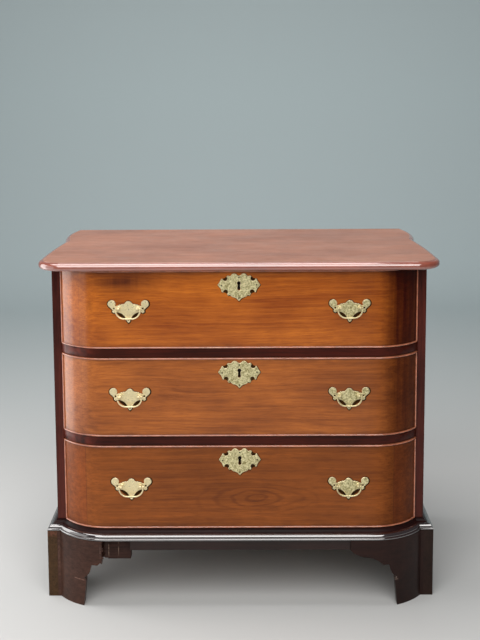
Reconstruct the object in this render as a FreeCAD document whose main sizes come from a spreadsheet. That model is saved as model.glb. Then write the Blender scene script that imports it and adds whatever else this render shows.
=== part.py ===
# Chest of three long drawers whose fronts are flat in the middle and rounded at the ends.
# Millimetres. The front faces -Y, +X is to the right and +Z is up. The origin lies on the floor,
# under the middle of the chest's overall box.
import FreeCAD
import Part
import Sketcher
import math
import os
import re
from FreeCAD import Vector

doc = FreeCAD.newDocument("Chest")
sheet = doc.addObject("Spreadsheet::Sheet", "Sizes")

# Driving sizes, by the piece that they belong to
SIZES = [
    ("case_width", 910, "over the two case sides"),
    ("case_depth", 455, "from the stiles' front to the back boards' back"),
    ("side_thickness", 20, "case side, seen in front as the stile"),
    ("corner_radius", 132, "plan radius of the rounded ends"),
    ("front_projection", 60, "flat of the fronts ahead of the stiles"),
    ("back_thickness", 12, "back boards"),
    ("back_rebate", 10, "width of the sides' rebate for the back boards"),
    ("back_gap", 1, "shrinkage gap between back boards"),
    ("bottom_thickness", 24, "bottom board of the case"),
    ("rail_thickness", 21, "rails between the drawers"),
    ("rail_depth", 95, "rail from its flat front to its back edge"),
    ("housing_depth", 8, "rails and bottom let into the sides"),
    ("housing_set_back", 8, "housings stop this far behind the stiles' front"),
    ("runner_width", 22, "drawer runner across"),
    ("runner_height", 16, "drawer runner upright"),
    ("stop_length", 42, "drawer stop across"),
    ("stop_depth", 12, "drawer stop front to back"),
    ("stop_height", 4, "drawer stop upright"),
    ("stop_spread", 170, "drawer stop's middle from the chest's middle"),
    ("stop_clearance", 0.3, "stop to the drawer front's inner face"),
    ("top_thickness", 18, "top board at its moulded edge"),
    ("top_field_rise", 1, "raised field of the top above its edge"),
    ("top_field_inset", 11, "raised field inside the top's edge"),
    ("top_overhang", 20, "top ahead of the drawer fronts"),
    ("top_side_overhang", 27, "top beyond the case side, at its widest"),
    ("top_back_overhang", 15, "top behind the back boards"),
    ("top_corner_radius", 65, "top's front corners in plan"),
    ("top_side_radius", 2000, "gentle curve of the top's sides"),
    ("top_waist", 17, "top's sides narrow by this much"),
    ("top_cusp_radius", 5, "hollow where the waist meets the ear"),
    ("top_ear_radius", 16, "round of the ear behind the waist"),
    ("top_ear_turn", 48, "degrees that the edge turns at the ear"),
    ("top_upper_round", 9, "upper round of the top's edge"),
    ("top_lower_ease", 6, "lower eased edge of the top"),
    ("moulding_height", 24, "base moulding"),
    ("moulding_bead_base", 20.5, "base moulding's bead starts this far out"),
    ("moulding_bead_height", 6, "base moulding's bead"),
    ("moulding_bead_reach", 2.5, "base moulding's bead beyond its base"),
    ("moulding_torus_out", 19, "torus, outer edge"),
    ("moulding_torus_in", 11, "torus, inner edge"),
    ("moulding_torus_base", 6.8, "torus, lower edge above the moulding's foot"),
    ("moulding_torus_top", 13.5, "torus, upper edge above the moulding's foot"),
    ("moulding_torus_radius", 8, "torus"),
    ("moulding_cove_top", 2.5, "cove's upper edge ahead of the case"),
    ("moulding_cove_radius", 11, "cove"),
    ("foot_height", 168, "floor to the base moulding"),
    ("foot_projection", 22.5, "feet ahead of the case"),
    ("foot_thickness", 24, "front foot's board"),
    ("side_foot_lap", 1, "side foot reaches this far under the case side"),
    ("foot_width", 95, "foot at the floor, from its outer face"),
    ("foot_spur_height", 73, "cusp on the foot's inner edge"),
    ("foot_ankle_height", 62, "ankle, below the cusp"),
    ("foot_ankle", 6, "ankle inward from the inner edge at the floor"),
    ("foot_spur", 1, "cusp from the foot's inner edge at the floor"),
    ("scroll_radius", 30, "hollow above the cusp"),
    ("scroll_reach", 18.5, "hollow ends this far from the inner edge"),
    ("scroll_height", 99.5, "hollow ends at this height"),
    ("fillet_height", 106.5, "flat fillet of the bracket"),
    ("fillet_start", 21, "flat fillet starts this far from the inner edge"),
    ("fillet_end", 35.5, "flat fillet ends this far from the inner edge"),
    ("ogee_middle", 74, "ogee changes its bend this far from the inner edge"),
    ("ogee_height", 126, "ogee changes its bend at this height"),
    ("ogee_radius", 60, "both bends of the ogee"),
    ("wing_reach", 115, "wing's tip from the inner edge"),
    ("wing_height", 143.5, "wing's lower edge at its tip"),
    ("broken_wing", 46, "what is left of the left front wing"),
    ("break_step", 5, "raggedness of the broken wing's end"),
    ("apron_set_back", 6.5, "apron behind the feet's face"),
    ("rear_bracket_thickness", 20, "rear bracket"),
    ("rear_bracket_reach", 124, "rear bracket along the back, at its top"),
    ("rear_bracket_foot", 50, "rear bracket along the back, at the floor"),
    ("block_width", 40, "corner glue block"),
    ("block_lift", 2, "corner glue block above the floor"),
    ("wing_block_width", 56, "glue block behind a wing"),
    ("wing_block_depth", 25, "glue block behind a wing"),
    ("exposed_block_height", 54, "glue block that the broken wing exposes"),
    ("hidden_block_height", 22, "glue block that the whole wing hides"),
    ("upper_height", 189, "upper drawer front"),
    ("middle_height", 193.5, "middle drawer front"),
    ("lower_height", 207.3, "lower drawer front"),
    ("gap_above", 1.2, "above each drawer front"),
    ("gap_below", 1, "below each drawer front"),
    ("gap_beside", 1.5, "beside each drawer front"),
    ("front_thickness", 24, "drawer front"),
    ("front_lap", 14, "drawer front's ends reach this far behind the stiles' front"),
    ("bead_width", 4, "cockbead as seen from the front"),
    ("bead_projection", 3, "cockbead ahead of the drawer front"),
    ("bead_depth", 8, "cockbead let into the drawer front"),
    ("bead_round", 1.5, "cockbead's eased edges"),
    ("end_bead_front", 9, "upright cockbead ahead of the stiles' front"),
    ("end_bead_gap", 0.5, "upright cockbead to the dovetails"),
    ("drawer_side_thickness", 11, "drawer side"),
    ("drawer_side_gap", 3, "drawer side to case side"),
    ("drawer_side_drop", 8, "drawer side below the front's top edge"),
    ("drawer_run_gap", 0.3, "drawer side above its runner"),
    ("drawer_back_gap", 13, "drawer's back to the back boards"),
    ("drawer_back_thickness", 12, "drawer back"),
    ("drawer_back_drop", 10, "drawer back below the drawer sides"),
    ("drawer_bottom_lift", 8, "drawer bottom above the front's lower edge"),
    ("drawer_bottom_thickness", 7, "drawer bottom"),
    ("groove_depth", 5, "grooves that hold the drawer bottom"),
    ("tail_length", 10, "dovetails in the drawer front"),
    ("tail_width", 32, "dovetail at its root"),
    ("tail_flare", 3, "dovetail widens by this much on each side"),
    ("pin_width", 22, "rear dovetail pin at its end"),
    ("pin_flare", 2.5, "rear pin widens by this much on each side"),
    ("key_drop", 38, "keyhole's middle below the front's top edge"),
    ("key_round", 4.5, "keyhole's round head"),
    ("key_head_rise", 6.8, "round head above the keyhole's middle"),
    ("key_slot_width", 7, "keyhole's slot"),
    ("key_slot_drop", 11, "slot's lower end below the keyhole's middle"),
    ("key_slot_round", 3.6, "slot's lower end"),
    ("lock_width", 60, "lock case"),
    ("lock_below_key", 16, "lock case below the keyhole's middle"),
    ("lock_top_gap", 1, "lock case below the front's top edge"),
    ("lock_thickness", 12, "lock case"),
    ("lock_let_in", 3, "lock case let into the drawer front"),
    ("lock_wall", 1.5, "lock's wall between keyhole and back"),
    ("bolt_width", 26, "lock bolt"),
    ("bolt_thickness", 5, "lock bolt"),
    ("bolt_length", 24, "lock bolt upright"),
    ("bolt_inset", 4.2, "bolt's channel behind the lock's front"),
    ("bolt_clearance", 0.3, "lock bolt in its channel"),
    ("mortise_margin", 2.5, "bolt mortise round the bolt"),
    ("mortise_depth", 10, "bolt mortise in the rail above"),
    ("pull_spread", 263, "pull's middle from the chest's middle"),
    ("pull_rise", 4.5, "pull's posts above the front's middle"),
    ("plate_thickness", 1.6, "brass plates"),
    ("post_half", 22.5, "pull's post from the pull's middle"),
    ("post_ball", 4, "post's head, half its width"),
    ("post_ball_flat", 1.8, "post's head, half its band"),
    ("post_ball_nose", 2, "post's head, half its front"),
    ("post_reach", 12, "head's middle ahead of the drawer front"),
    ("post_shank", 2.4, "post's shank, half its width"),
    ("post_clearance", 0.2, "shank in its holes"),
    ("nut_width", 10, "post's square nut"),
    ("nut_depth", 4, "post's square nut"),
    ("bail_radius", 1.85, "bail's bar, half its width"),
    ("bail_arm", 28.9, "bail's arm from the pull's middle"),
    ("bail_drop", 24, "bail below its pivot"),
    ("bail_bend", 20, "bail's lower bend"),
    ("bail_elbow", 3, "bail's elbow beside the post, half its width"),
    ("bail_elbow_gap", 0.4, "bail's elbow to the post's head"),
    ("bail_pin", 1.5, "bail's pivot, half its width"),
    ("bail_pin_depth", 4.2, "pivot in the post's head"),
    ("bail_pin_gap", 0.4, "pivot's end to the bottom of its hole"),
    ("pivot_clearance", 0.18, "bail's pivot in the post, at its flats"),
    ("crest_rise", 8, "middle of the pull plate's top lobe"),
    ("crest_radius", 8.7, "pull plate's top lobe"),
    ("shoulder_half", 14, "pull plate's shoulder"),
    ("shoulder_rise", 9.5, "pull plate's shoulder"),
    ("shoulder_end", 23, "shoulder meets the neck"),
    ("shoulder_end_rise", 6.5, "shoulder meets the neck"),
    ("lobe_reach", 41, "pull plate's ear"),
    ("lobe_rise", 9.5, "pull plate's ear"),
    ("lobe_radius", 9.3, "pull plate's ear"),
    ("neck_half", 28.5, "neck between ear and body"),
    ("neck_rise", 4.5, "neck between ear and body"),
    ("wing_waist", 37.3, "wing below the ear"),
    ("wing_waist_drop", 5, "wing below the ear"),
    ("wing_spur", 34.5, "wing's small spur"),
    ("wing_spur_drop", 13, "wing's small spur"),
    ("wing_corner", 38.5, "corner beside the spur"),
    ("wing_corner_drop", 9.5, "corner beside the spur"),
    ("hollow_reach", 28.4, "middle of the hollow beside the plate's drop"),
    ("hollow_drop", 34.5, "middle of the hollow beside the plate's drop"),
    ("hollow_radius", 24, "hollow beside the plate's drop"),
    ("drop_lobe", 4.8, "plate's drop, widest"),
    ("drop_lobe_drop", 31, "plate's drop, widest"),
    ("drop_tip", 36, "plate's drop, tip"),
    ("eye_reach", 34.5, "pierced eye of the wing"),
    ("eye_rise", -1.5, "pierced eye of the wing"),
    ("eye_radius", 2.1, "pierced eye of the wing, half its width"),
    ("scutcheon_tip", 36.5, "escutcheon's lower tip"),
    ("scutcheon_neck", 6.5, "above the lower tip"),
    ("scutcheon_neck_drop", 29.5, "above the lower tip"),
    ("scallop_reach", 12.9, "middle of the lower scallop"),
    ("scallop_drop", 19, "middle of the lower scallop"),
    ("scallop_radius", 8, "lower scallop and upper bump"),
    ("low_bite_reach", 31.5, "middle of the lower round bite"),
    ("low_bite_drop", 14, "middle of the lower round bite"),
    ("high_bite_reach", 33, "middle of the upper round bite"),
    ("high_bite_rise", 17.8, "middle of the upper round bite"),
    ("bite_radius", 5.6, "round bites between the horns"),
    ("low_horn", 25.8, "horn inside the lower bite"),
    ("low_horn_drop", 23.2, "horn inside the lower bite"),
    ("low_barb", 39.8, "barb outside the lower bite"),
    ("low_barb_drop", 15.6, "barb outside the lower bite"),
    ("high_barb", 41.2, "barb outside the upper bite"),
    ("high_barb_rise", 17.8, "barb outside the upper bite"),
    ("high_horn", 27, "horn inside the upper bite"),
    ("high_horn_rise", 25.4, "horn inside the upper bite"),
    ("notch_half", 21, "notch beside the upper bump"),
    ("notch_rise", 23.8, "notch beside the upper bump"),
    ("bump_reach", 11.3, "middle of the upper bump"),
    ("bump_rise", 22.4, "middle of the upper bump"),
    ("cheek_half", 43.2, "below the ear"),
    ("cheek_drop", 6.5, "below the ear"),
    ("ear_reach", 50.5, "escutcheon's side ear"),
    ("ear_rise", 2.5, "escutcheon's side ear"),
    ("brow_half", 45, "above the ear"),
    ("brow_rise", 11, "above the ear"),
    ("dip_rise", 24.5, "dip between the upper bumps"),
]
for row, (alias, number, meaning) in enumerate(SIZES, start=1):
    sheet.set(f"A{row}", alias)
    sheet.set(f"B{row}", str(number))
    sheet.set(f"C{row}", meaning)
    sheet.setAlias(f"B{row}", alias)
doc.recompute()
ALIASES = {alias for alias, number, meaning in SIZES}

# Places that follow from the driving sizes
PLACES = {
    "case_half": "case_width / 2",
    "inner_half": "case_half - side_thickness",
    "base_reach": "moulding_bead_base + moulding_bead_reach",
    "stile": "(front_projection + base_reach - case_depth - top_back_overhang) / 2",
    "back": "stile + case_depth",
    "face": "stile - front_projection",
    "corner_y": "face + corner_radius",
    "flat_half": "inner_half - sqrt(corner_radius ^ 2 - (corner_radius - front_projection) ^ 2)",
    "inner_face": "face + front_thickness",
    "back_inner": "back - back_thickness",
    "rail_back": "face + rail_depth",
    "housing_half": "inner_half + housing_depth",
    "floor_top": "foot_height + moulding_height",
    "lower_bottom": "floor_top + gap_below",
    "lower_rail": "lower_bottom + lower_height + gap_above",
    "middle_bottom": "lower_rail + rail_thickness + gap_below",
    "upper_rail": "middle_bottom + middle_height + gap_above",
    "upper_bottom": "upper_rail + rail_thickness + gap_below",
    "carcase_top": "upper_bottom + upper_height + gap_above",
    "foot_face": "face - foot_projection",
    "foot_half": "case_half + foot_projection",
    "foot_edge": "foot_half - foot_width",
    "wing_tip": "foot_edge - wing_reach",
    "front_half": "inner_half - gap_beside",
    "drawer_half": "inner_half - drawer_side_gap",
    "drawer_inner": "drawer_half - drawer_side_thickness",
    "drawer_back": "back_inner - drawer_back_gap",
    "joint_line": "stile + front_lap",
    "lock_front": "inner_face - lock_let_in",
    "bolt_front": "lock_front + bolt_inset + bolt_clearance",
    "pivot_y": "face - post_reach",
}


def bind(text):
    """A formula in named sizes and places, written as references to the sheet's cells."""
    def reference(match):
        word = match.group(0)
        if word in PLACES:
            return f"({bind(PLACES[word])})"
        return f"Sizes.{word}" if word in ALIASES else word
    return re.sub(r"[a-z_]+", reference, text)


def value(text):
    return float(sheet.evalExpression(bind(text)))


# Sketches, pads and boxes whose sizes are bound to the sheet


def new_body(label):
    body = doc.addObject("PartDesign::Body", "Body")
    body.Label = label
    return body


def sketch_on(body, plane, lift="0", shift="0"):
    """A sketch on one of the body's own origin planes, lifted along that plane's normal and with
    its origin shifted along the sketch's first axis."""
    sketch = body.newObject("Sketcher::SketchObject", "Sketch")
    sketch.AttachmentSupport = [(origin_plane(body, plane), "")]
    sketch.MapMode = "FlatFace"
    sketch.setExpression("AttachmentOffset.Base.z", bind(lift))
    sketch.setExpression("AttachmentOffset.Base.x", bind(shift))
    return sketch


def origin_plane(body, plane):
    return next(feature for feature in body.Origin.OriginFeatures if feature.Role == plane)


def dimension(sketch, limits):
    """Adds dimensions, each given as (constraint, formula), and binds them to their formulas."""
    for constraint, formula in limits:
        index = sketch.addConstraint(constraint)
        sketch.setExpression(f"Constraints[{index}]", bind(formula))


def arc_between(start, end, turn, radius):
    """The shorter arc of a given radius from start to end, bending to the left or to the right."""
    chord = end - start
    rise = math.sqrt(max(radius ** 2 - (chord.Length / 2) ** 2, 0))
    side = Vector(-chord.y, chord.x, 0).normalize()
    centre = (start + end) * 0.5 + side * (rise if turn == "left" else -rise)
    first, last = (start, end) if turn == "left" else (end, start)
    angles = [math.atan2(p.y - centre.y, p.x - centre.x) for p in (first, last)]
    return Part.ArcOfCircle(Part.Circle(centre, Vector(0, 0, 1), radius), *angles)


def draw(sketch, corners, closed=True):
    """Draws a dimensioned outline. A corner is (x, y) where the next edge is straight, or
    (x, y, turn, radius) where the next edge is an arc that bends "left" or "right"."""
    points = [Vector(value(corner[0]), value(corner[1]), 0) for corner in corners]
    spans = list(zip(corners, points, points[1:] + points[:1]))
    edges = []
    limits = []
    for corner, start, end in spans if closed else spans[:-1]:
        if len(corner) == 2:
            edges.append((sketch.addGeometry(Part.LineSegment(start, end), False), 1, 2))
            continue
        turn, radius = corner[2:]
        edge = sketch.addGeometry(arc_between(start, end, turn, value(radius)), False)
        edges.append((edge, 1, 2) if turn == "left" else (edge, 2, 1))
        limits.append((Sketcher.Constraint("Radius", edge, value(radius)), radius))
    for (edge, head, tail), (following, start, end) in zip(edges, edges[1:] + edges[:1] * closed):
        sketch.addConstraint(Sketcher.Constraint("Coincident", edge, tail, following, start))
    vertices = [(edge, head) for edge, head, tail in edges]
    if not closed:
        vertices.append((edges[-1][0], edges[-1][2]))
    for corner, point, (edge, end) in zip(corners, points, vertices):
        limits.append((Sketcher.Constraint("DistanceX", -1, 1, edge, end, point.x), corner[0]))
        limits.append((Sketcher.Constraint("DistanceY", -1, 1, edge, end, point.y), corner[1]))
    dimension(sketch, limits)
    return sketch


def octagon(x, y, half):
    """Corners of an eight-sided section, given by half its width across the flats."""
    step = f"(sqrt(2) - 1) * ({half})"
    signs = [(1, -1, 0), (1, 1, 0), (1, 1, 1), (-1, 1, 1), (-1, 1, 0), (-1, -1, 0), (-1, -1, 1), (1, -1, 1)]
    corners = []
    for across, up, swapped in signs:
        near, far = (step, f"({half})") if swapped else (f"({half})", step)
        corners.append((f"{x} + {across} * {near}", f"{y} + {up} * {far}"))
    return corners


def pad(body, sketch, length):
    feature = body.newObject("PartDesign::Pad", "Pad")
    feature.Profile = sketch
    feature.setExpression("Length", bind(length))
    return feature


def facets(x, y, radius, start, end, steps):
    """Corners along a small arc, from one angle to another in degrees, as a few straight lengths."""
    corners = []
    for step in range(steps + 1):
        turn = f"{start + (end - start) * step / steps:g} deg"
        corners.append((f"{x} + {radius} * cos({turn})", f"{y} + {radius} * sin({turn})"))
    return corners


def prism(label, plane, lift, length, corners):
    """A body with one pad. On the XZ plane the pad runs from y = -lift towards the front."""
    body = new_body(label)
    pad(body, draw(sketch_on(body, plane, lift), corners), length)
    return body


def mirror_in_body(body, features):
    """Repeats features of a body on the other side of its own YZ plane."""
    mirrored = body.newObject("PartDesign::Mirrored", "Mirrored")
    mirrored.Originals = features
    mirrored.MirrorPlane = (origin_plane(body, "YZ_Plane"), [""])
    body.Tip = mirrored
    return mirrored


def place(thing, x, y, z):
    thing.setExpression("Placement.Base.x", bind(x))
    thing.setExpression("Placement.Base.y", bind(y))
    thing.setExpression("Placement.Base.z", bind(z))
    return thing


def block(label, xs, ys, zs):
    """A box between two formulas on each axis."""
    box = doc.addObject("Part::Box", "Block")
    box.Label = label
    for side, (low, high) in (("Length", xs), ("Width", ys), ("Height", zs)):
        box.setExpression(side, bind(f"({high}) - ({low})"))
    return place(box, xs[0], ys[0], zs[0])


def rod(label, axis, x, y, z, half, length):
    """An eight-sided rod from the given place along +X or +Y, with flats that face the axes."""
    bar = doc.addObject("Part::Prism", "Rod")
    bar.Label = label
    bar.Polygon = 8
    lay = FreeCAD.Rotation(Vector(0, 0, 1), axis)
    bar.Placement.Rotation = lay.multiply(FreeCAD.Rotation(Vector(0, 0, 1), 22.5))
    bar.setExpression("Circumradius", bind(f"({half}) / cos(22.5 deg)"))
    bar.setExpression("Height", bind(length))
    return place(bar, x, y, z)


def cut(label, base, tools):
    """The base with every tool taken out of it in turn."""
    for tool in tools:
        remainder = doc.addObject("Part::Cut", "Cut")
        remainder.Base = base
        remainder.Tool = tool
        base = remainder
    base.Label = label
    return base


def common(label, base, tool):
    overlap = doc.addObject("Part::Common", "Common")
    overlap.Base = base
    overlap.Tool = tool
    overlap.Label = label
    return overlap


def mirror(label, source, about="0"):
    """The same piece on the other side of an upright plane across X, at first the chest's middle."""
    copy = doc.addObject("Part::Mirroring", "Mirror")
    copy.Source = source
    copy.Normal = Vector(1, 0, 0)
    copy.setExpression("Base.x", bind(about))
    copy.Label = label
    return copy


def gather(label, members):
    """Several separate solids that make one sub-part."""
    compound = doc.addObject("Part::Compound", "Group")
    compound.Links = members
    compound.Label = label
    return compound


def minus(formula):
    return f"-({formula})"


def front_curve(offset, end_y=None, end_x=None):
    """The chest's front line in plan from left to right, moved outward by an offset. It ends
    where it reaches end_y, or else end_x."""
    radius = f"(corner_radius + ({offset}))"
    if end_x is None:
        end_x = f"flat_half + sqrt({radius} ^ 2 - (corner_y - ({end_y})) ^ 2)"
    else:
        end_y = f"corner_y - sqrt({radius} ^ 2 - ({end_x} - flat_half) ^ 2)"
    flat = f"face - ({offset})"
    return [
        (minus(end_x), end_y, "left", radius),
        ("-flat_half", flat),
        ("flat_half", flat, "left", radius),
        (end_x, end_y),
    ]


def reverse_curve(corners):
    """The same line walked the other way, so its arcs bend the other way."""
    other = {"left": "right", "right": "left"}
    walked = []
    for here, before in zip(corners[::-1], corners[-2::-1] + [corners[-1][:2]]):
        bend = (other[before[2]], before[3]) if len(before) == 4 else ()
        walked.append(here[:2] + bend)
    return walked


# Case: rails, bottom, sides, back, runners and stops


def shelf(label, bottom, thickness, back_line):
    """A board that follows the front line and is housed in both sides."""
    inset = "stile + housing_set_back"
    ends = [
        ("inner_half", inset),
        ("housing_half", inset),
        ("housing_half", back_line),
        ("-housing_half", back_line),
        ("-housing_half", inset),
        ("-inner_half", inset),
    ]
    return prism(label, "XY_Plane", bottom, thickness, front_curve("0", end_y="stile") + ends)


def bolt_mortise(bottom):
    """Room for a lock bolt in the board above a drawer."""
    half = "bolt_width / 2 + mortise_margin"
    depth = ("bolt_front - mortise_margin", "bolt_front + bolt_thickness + mortise_margin")
    return block("mortise", (minus(half), half), depth, (bottom, f"{bottom} + mortise_depth"))


def make_shelves():
    rails = {}
    for name in ("upper_rail", "lower_rail"):
        blank = shelf(name + "_blank", name, "rail_thickness", "rail_back")
        rails[name] = cut(name, blank, [bolt_mortise(name)])
    floor = shelf("bottom_board", "floor_top - bottom_thickness", "bottom_thickness", "back_inner")
    return [rails["upper_rail"], rails["lower_rail"], floor]


def make_sides(shelves):
    corners = [
        ("inner_half", "stile"),
        ("case_half", "stile"),
        ("case_half", "back"),
        ("inner_half + back_rebate", "back"),
        ("inner_half + back_rebate", "back_inner"),
        ("inner_half", "back_inner"),
    ]
    blank = prism("side_blank", "XY_Plane", "foot_height", "carcase_top - foot_height", corners)
    right = cut("side_right", blank, shelves)
    return [right, mirror("side_left", right)]


def make_back():
    """Three horizontal boards with small gaps between them."""
    half = "inner_half + back_rebate"
    count = 3
    pitch = f"(carcase_top - foot_height) / {count}"
    boards = []
    for index in range(count):
        low = f"foot_height + {index} * {pitch}"
        height = (low, f"{low} + {pitch} - back_gap")
        boards.append(block("back_board", (minus(half), half), ("back_inner", "back"), height))
    return gather("back_boards", boards)


def make_runners_and_stops():
    runners = []
    stops = []
    across = ("inner_half - runner_width", "inner_half")
    stop_x = ("stop_spread - stop_length / 2", "stop_spread + stop_length / 2")
    stop_y = ("inner_face + stop_clearance", "inner_face + stop_clearance + stop_depth")
    for rail in ("upper_rail", "lower_rail"):
        top = f"{rail} + rail_thickness"
        right = block("runner", across, ("rail_back", "back_inner"), (f"{top} - runner_height", top))
        runners += [right, mirror("runner_left", right)]
    for top in ("upper_rail + rail_thickness", "lower_rail + rail_thickness", "floor_top"):
        right = block("stop", stop_x, stop_y, (top, f"{top} + stop_height"))
        stops += [right, mirror("stop_left", right)]
    return [gather("runners", runners), gather("drawer_stops", stops)]


# Top board: waisted sides, ears behind the waist, a rounded edge and a raised field


def top_outline(inset):
    """The top's outline in plan, drawn in by an inset. Its arcs run smoothly into each other."""
    sweep_cos = "(1 - top_waist / top_side_radius)"
    sweep_sin = f"sqrt(1 - {sweep_cos} ^ 2)"
    turn_cos = "cos(top_ear_turn * 1 deg)"
    turn_sin = "sin(top_ear_turn * 1 deg)"
    widest = "case_half + top_side_overhang"
    front = "face - top_overhang"
    shoulder = f"{front} + top_corner_radius"
    waist_x = f"{widest} - top_waist"
    waist_y = f"{shoulder} + top_side_radius * {sweep_sin}"
    cusp_x = f"{waist_x} + top_cusp_radius * ({sweep_cos} - {turn_cos})"
    cusp_y = f"{waist_y} + top_cusp_radius * ({turn_sin} + {sweep_sin})"
    ear_x = f"{cusp_x} + top_ear_radius * (1 - {turn_cos})"
    ear_y = f"{cusp_y} + top_ear_radius * {turn_sin}"
    rear = "back + top_back_overhang"
    right = [
        (f"{widest} - top_corner_radius", f"{front} + {inset}", "left", f"top_corner_radius - {inset}"),
        (f"{widest} - {inset}", shoulder, "left", f"top_side_radius - {inset}"),
        (f"{waist_x} - {inset} * {sweep_cos}", f"{waist_y} - {inset} * {sweep_sin}",
         "right", f"top_cusp_radius + {inset}"),
        (f"{cusp_x} - {inset} * {turn_cos}", f"{cusp_y} + {inset} * {turn_sin}",
         "left", f"top_ear_radius - {inset}"),
        (f"{ear_x} - {inset}", ear_y),
        (f"{ear_x} - {inset}", rear),
    ]
    left = [(minus(corner[0]),) + corner[1:] for corner in right]
    other = {"left": "right", "right": "left"}
    flipped = [corner[:2] + ((other[corner[2]], corner[3]) if len(corner) == 4 else ()) for corner in left]
    return right + reverse_curve(flipped)


def rim_edges(shape, height, back_line):
    """Names of the edges at one height that aren't on the back line."""
    names = []
    for index, edge in enumerate(shape.Edges, start=1):
        box = edge.BoundBox
        level = abs(box.ZMin - height) < 0.01 and abs(box.ZMax - height) < 0.01
        if level and box.YMin < back_line - 0.01:
            names.append(f"Edge{index}")
    return names


def ease_rim(body, base, kind, height, size):
    """Rounds or chamfers the top's rim at one height."""
    doc.recompute()
    feature = body.newObject(f"PartDesign::{kind}", "Rim")
    feature.Base = (base, rim_edges(base.Shape, value(height), value("back + top_back_overhang")))
    feature.setExpression("Radius" if kind == "Fillet" else "Size", bind(size))
    return feature


def make_top():
    body = new_body("top_blank")
    board = pad(body, draw(sketch_on(body, "XY_Plane", "carcase_top"), top_outline("0")), "top_thickness")
    upper = ease_rim(body, board, "Fillet", "carcase_top + top_thickness", "top_upper_round")
    ease_rim(body, upper, "Chamfer", "carcase_top", "top_lower_ease")
    seat = "carcase_top + top_thickness - top_field_rise"
    field = draw(sketch_on(body, "XY_Plane", seat), top_outline("top_field_inset"))
    pad(body, field, "2 * top_field_rise")
    return cut("top_board", body, [bolt_mortise("carcase_top")])


# Base moulding: a bead, a torus and a cove, mitred round the case


def moulding_profile(wall, outward):
    """The moulding's section. The wall's coordinate grows outward (1) or shrinks outward (-1)."""
    out = ("left", "right") if outward > 0 else ("right", "left")
    bead_top = "moulding_bead_height"
    points = [
        ("0", "0"),
        ("moulding_bead_base", "0"),
        ("base_reach", "0.3 * moulding_bead_height"),
        ("base_reach", "0.7 * moulding_bead_height"),
        ("moulding_bead_base", bead_top),
        ("moulding_torus_out", bead_top),
        ("moulding_torus_out", "moulding_torus_base", out[0], "moulding_torus_radius"),
        ("moulding_torus_in", "moulding_torus_top", out[1], "moulding_cove_radius"),
        ("moulding_cove_top", "moulding_height"),
        ("0", "moulding_height"),
    ]
    return [(f"{wall} + {outward} * ({p[0]})", f"foot_height + {p[1]}") + p[2:] for p in points]


def make_moulding():
    """The front run follows the rounded front. At each stile a short run breaks sideways from an
    inner mitre to an outer one, and a return runs back along the side."""
    reach = "base_reach + 1"
    inner_end = "flat_half + sqrt((corner_radius + base_reach) ^ 2" \
                " - (corner_radius - front_projection + base_reach) ^ 2)"
    inner_x = f"inner_half + ({inner_end} - inner_half) / base_reach * ({reach})"
    inner_mitre = [("inner_half", "stile"), (inner_x, f"stile - ({reach})")]
    outer_mitre = [(f"case_half + {reach}", f"stile - ({reach})"), ("case_half", "stile")]

    body = new_body("moulding_front_run")
    straight = pad(body, draw(sketch_on(body, "YZ_Plane"), moulding_profile("face", -1)), "flat_half")
    section = sketch_on(body, "YZ_Plane", "flat_half", "corner_y")
    bend = body.newObject("PartDesign::Revolution", "Bend")
    bend.Profile = draw(section, moulding_profile("-corner_radius", -1))
    bend.ReferenceAxis = (section, ["V_Axis"])
    bend.setExpression("Angle", bind("acos((corner_radius - front_projection) / corner_radius) + 12 deg"))
    mirror_in_body(body, [straight, bend])
    beyond = inner_mitre + [("case_half + corner_radius", f"stile - ({reach})"),
                            ("case_half + corner_radius", "stile + corner_radius"),
                            ("inner_half", "stile + corner_radius")]
    waste = prism("mitre_waste", "XY_Plane", "foot_height", "moulding_height", beyond)
    front_run = cut("moulding_front", body, [waste, mirror("mitre_waste_left", waste)])

    stile_run = prism("stile_run", "YZ_Plane", "inner_half", f"side_thickness + {reach}",
                      moulding_profile("stile", -1))
    side_run = prism("side_run", "XZ_Plane", minus("back"), f"case_depth + {reach}",
                     moulding_profile("case_half", 1))
    behind = outer_mitre[::-1] + [(f"case_half + {reach}", "back"), ("case_half", "back")]
    pieces = []
    for run, region in ((stile_run, inner_mitre + outer_mitre), (side_run, behind)):
        bounds = prism("mitre_region", "XY_Plane", "foot_height", "moulding_height", region)
        pieces.append(common("moulding_piece", run, bounds))
    front = gather("base_moulding_front", [front_run, pieces[0], mirror("stile_run_left", pieces[0])])
    pieces[1].Label = "base_moulding_right"
    return [front, pieces[1], mirror("base_moulding_left", pieces[1])]


# Bracket feet: one scrolled outline serves the curved front feet and the straight side feet


def scroll(edge, inward):
    """What is sawn away under a bracket, from the foot's inner edge along its wing. The inward
    direction is 1 or -1 along the outline's first axis."""
    bends = ("left", "right") if inward < 0 else ("right", "left")
    below = "-1"
    beyond = "wing_reach + 1"
    points = [
        ("0", below),
        ("0", "0"),
        ("foot_ankle", "foot_ankle_height"),
        ("foot_spur", "foot_spur_height", bends[0], "scroll_radius"),
        ("scroll_reach", "scroll_height"),
        ("fillet_start", "fillet_height"),
        ("fillet_end", "fillet_height", bends[1], "ogee_radius"),
        ("ogee_middle", "ogee_height", bends[0], "ogee_radius"),
        ("wing_reach", "wing_height"),
        (beyond, "wing_height"),
        (beyond, below),
    ]
    return [(f"{edge} + {inward} * ({p[0]})",) + p[1:] for p in points]


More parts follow.
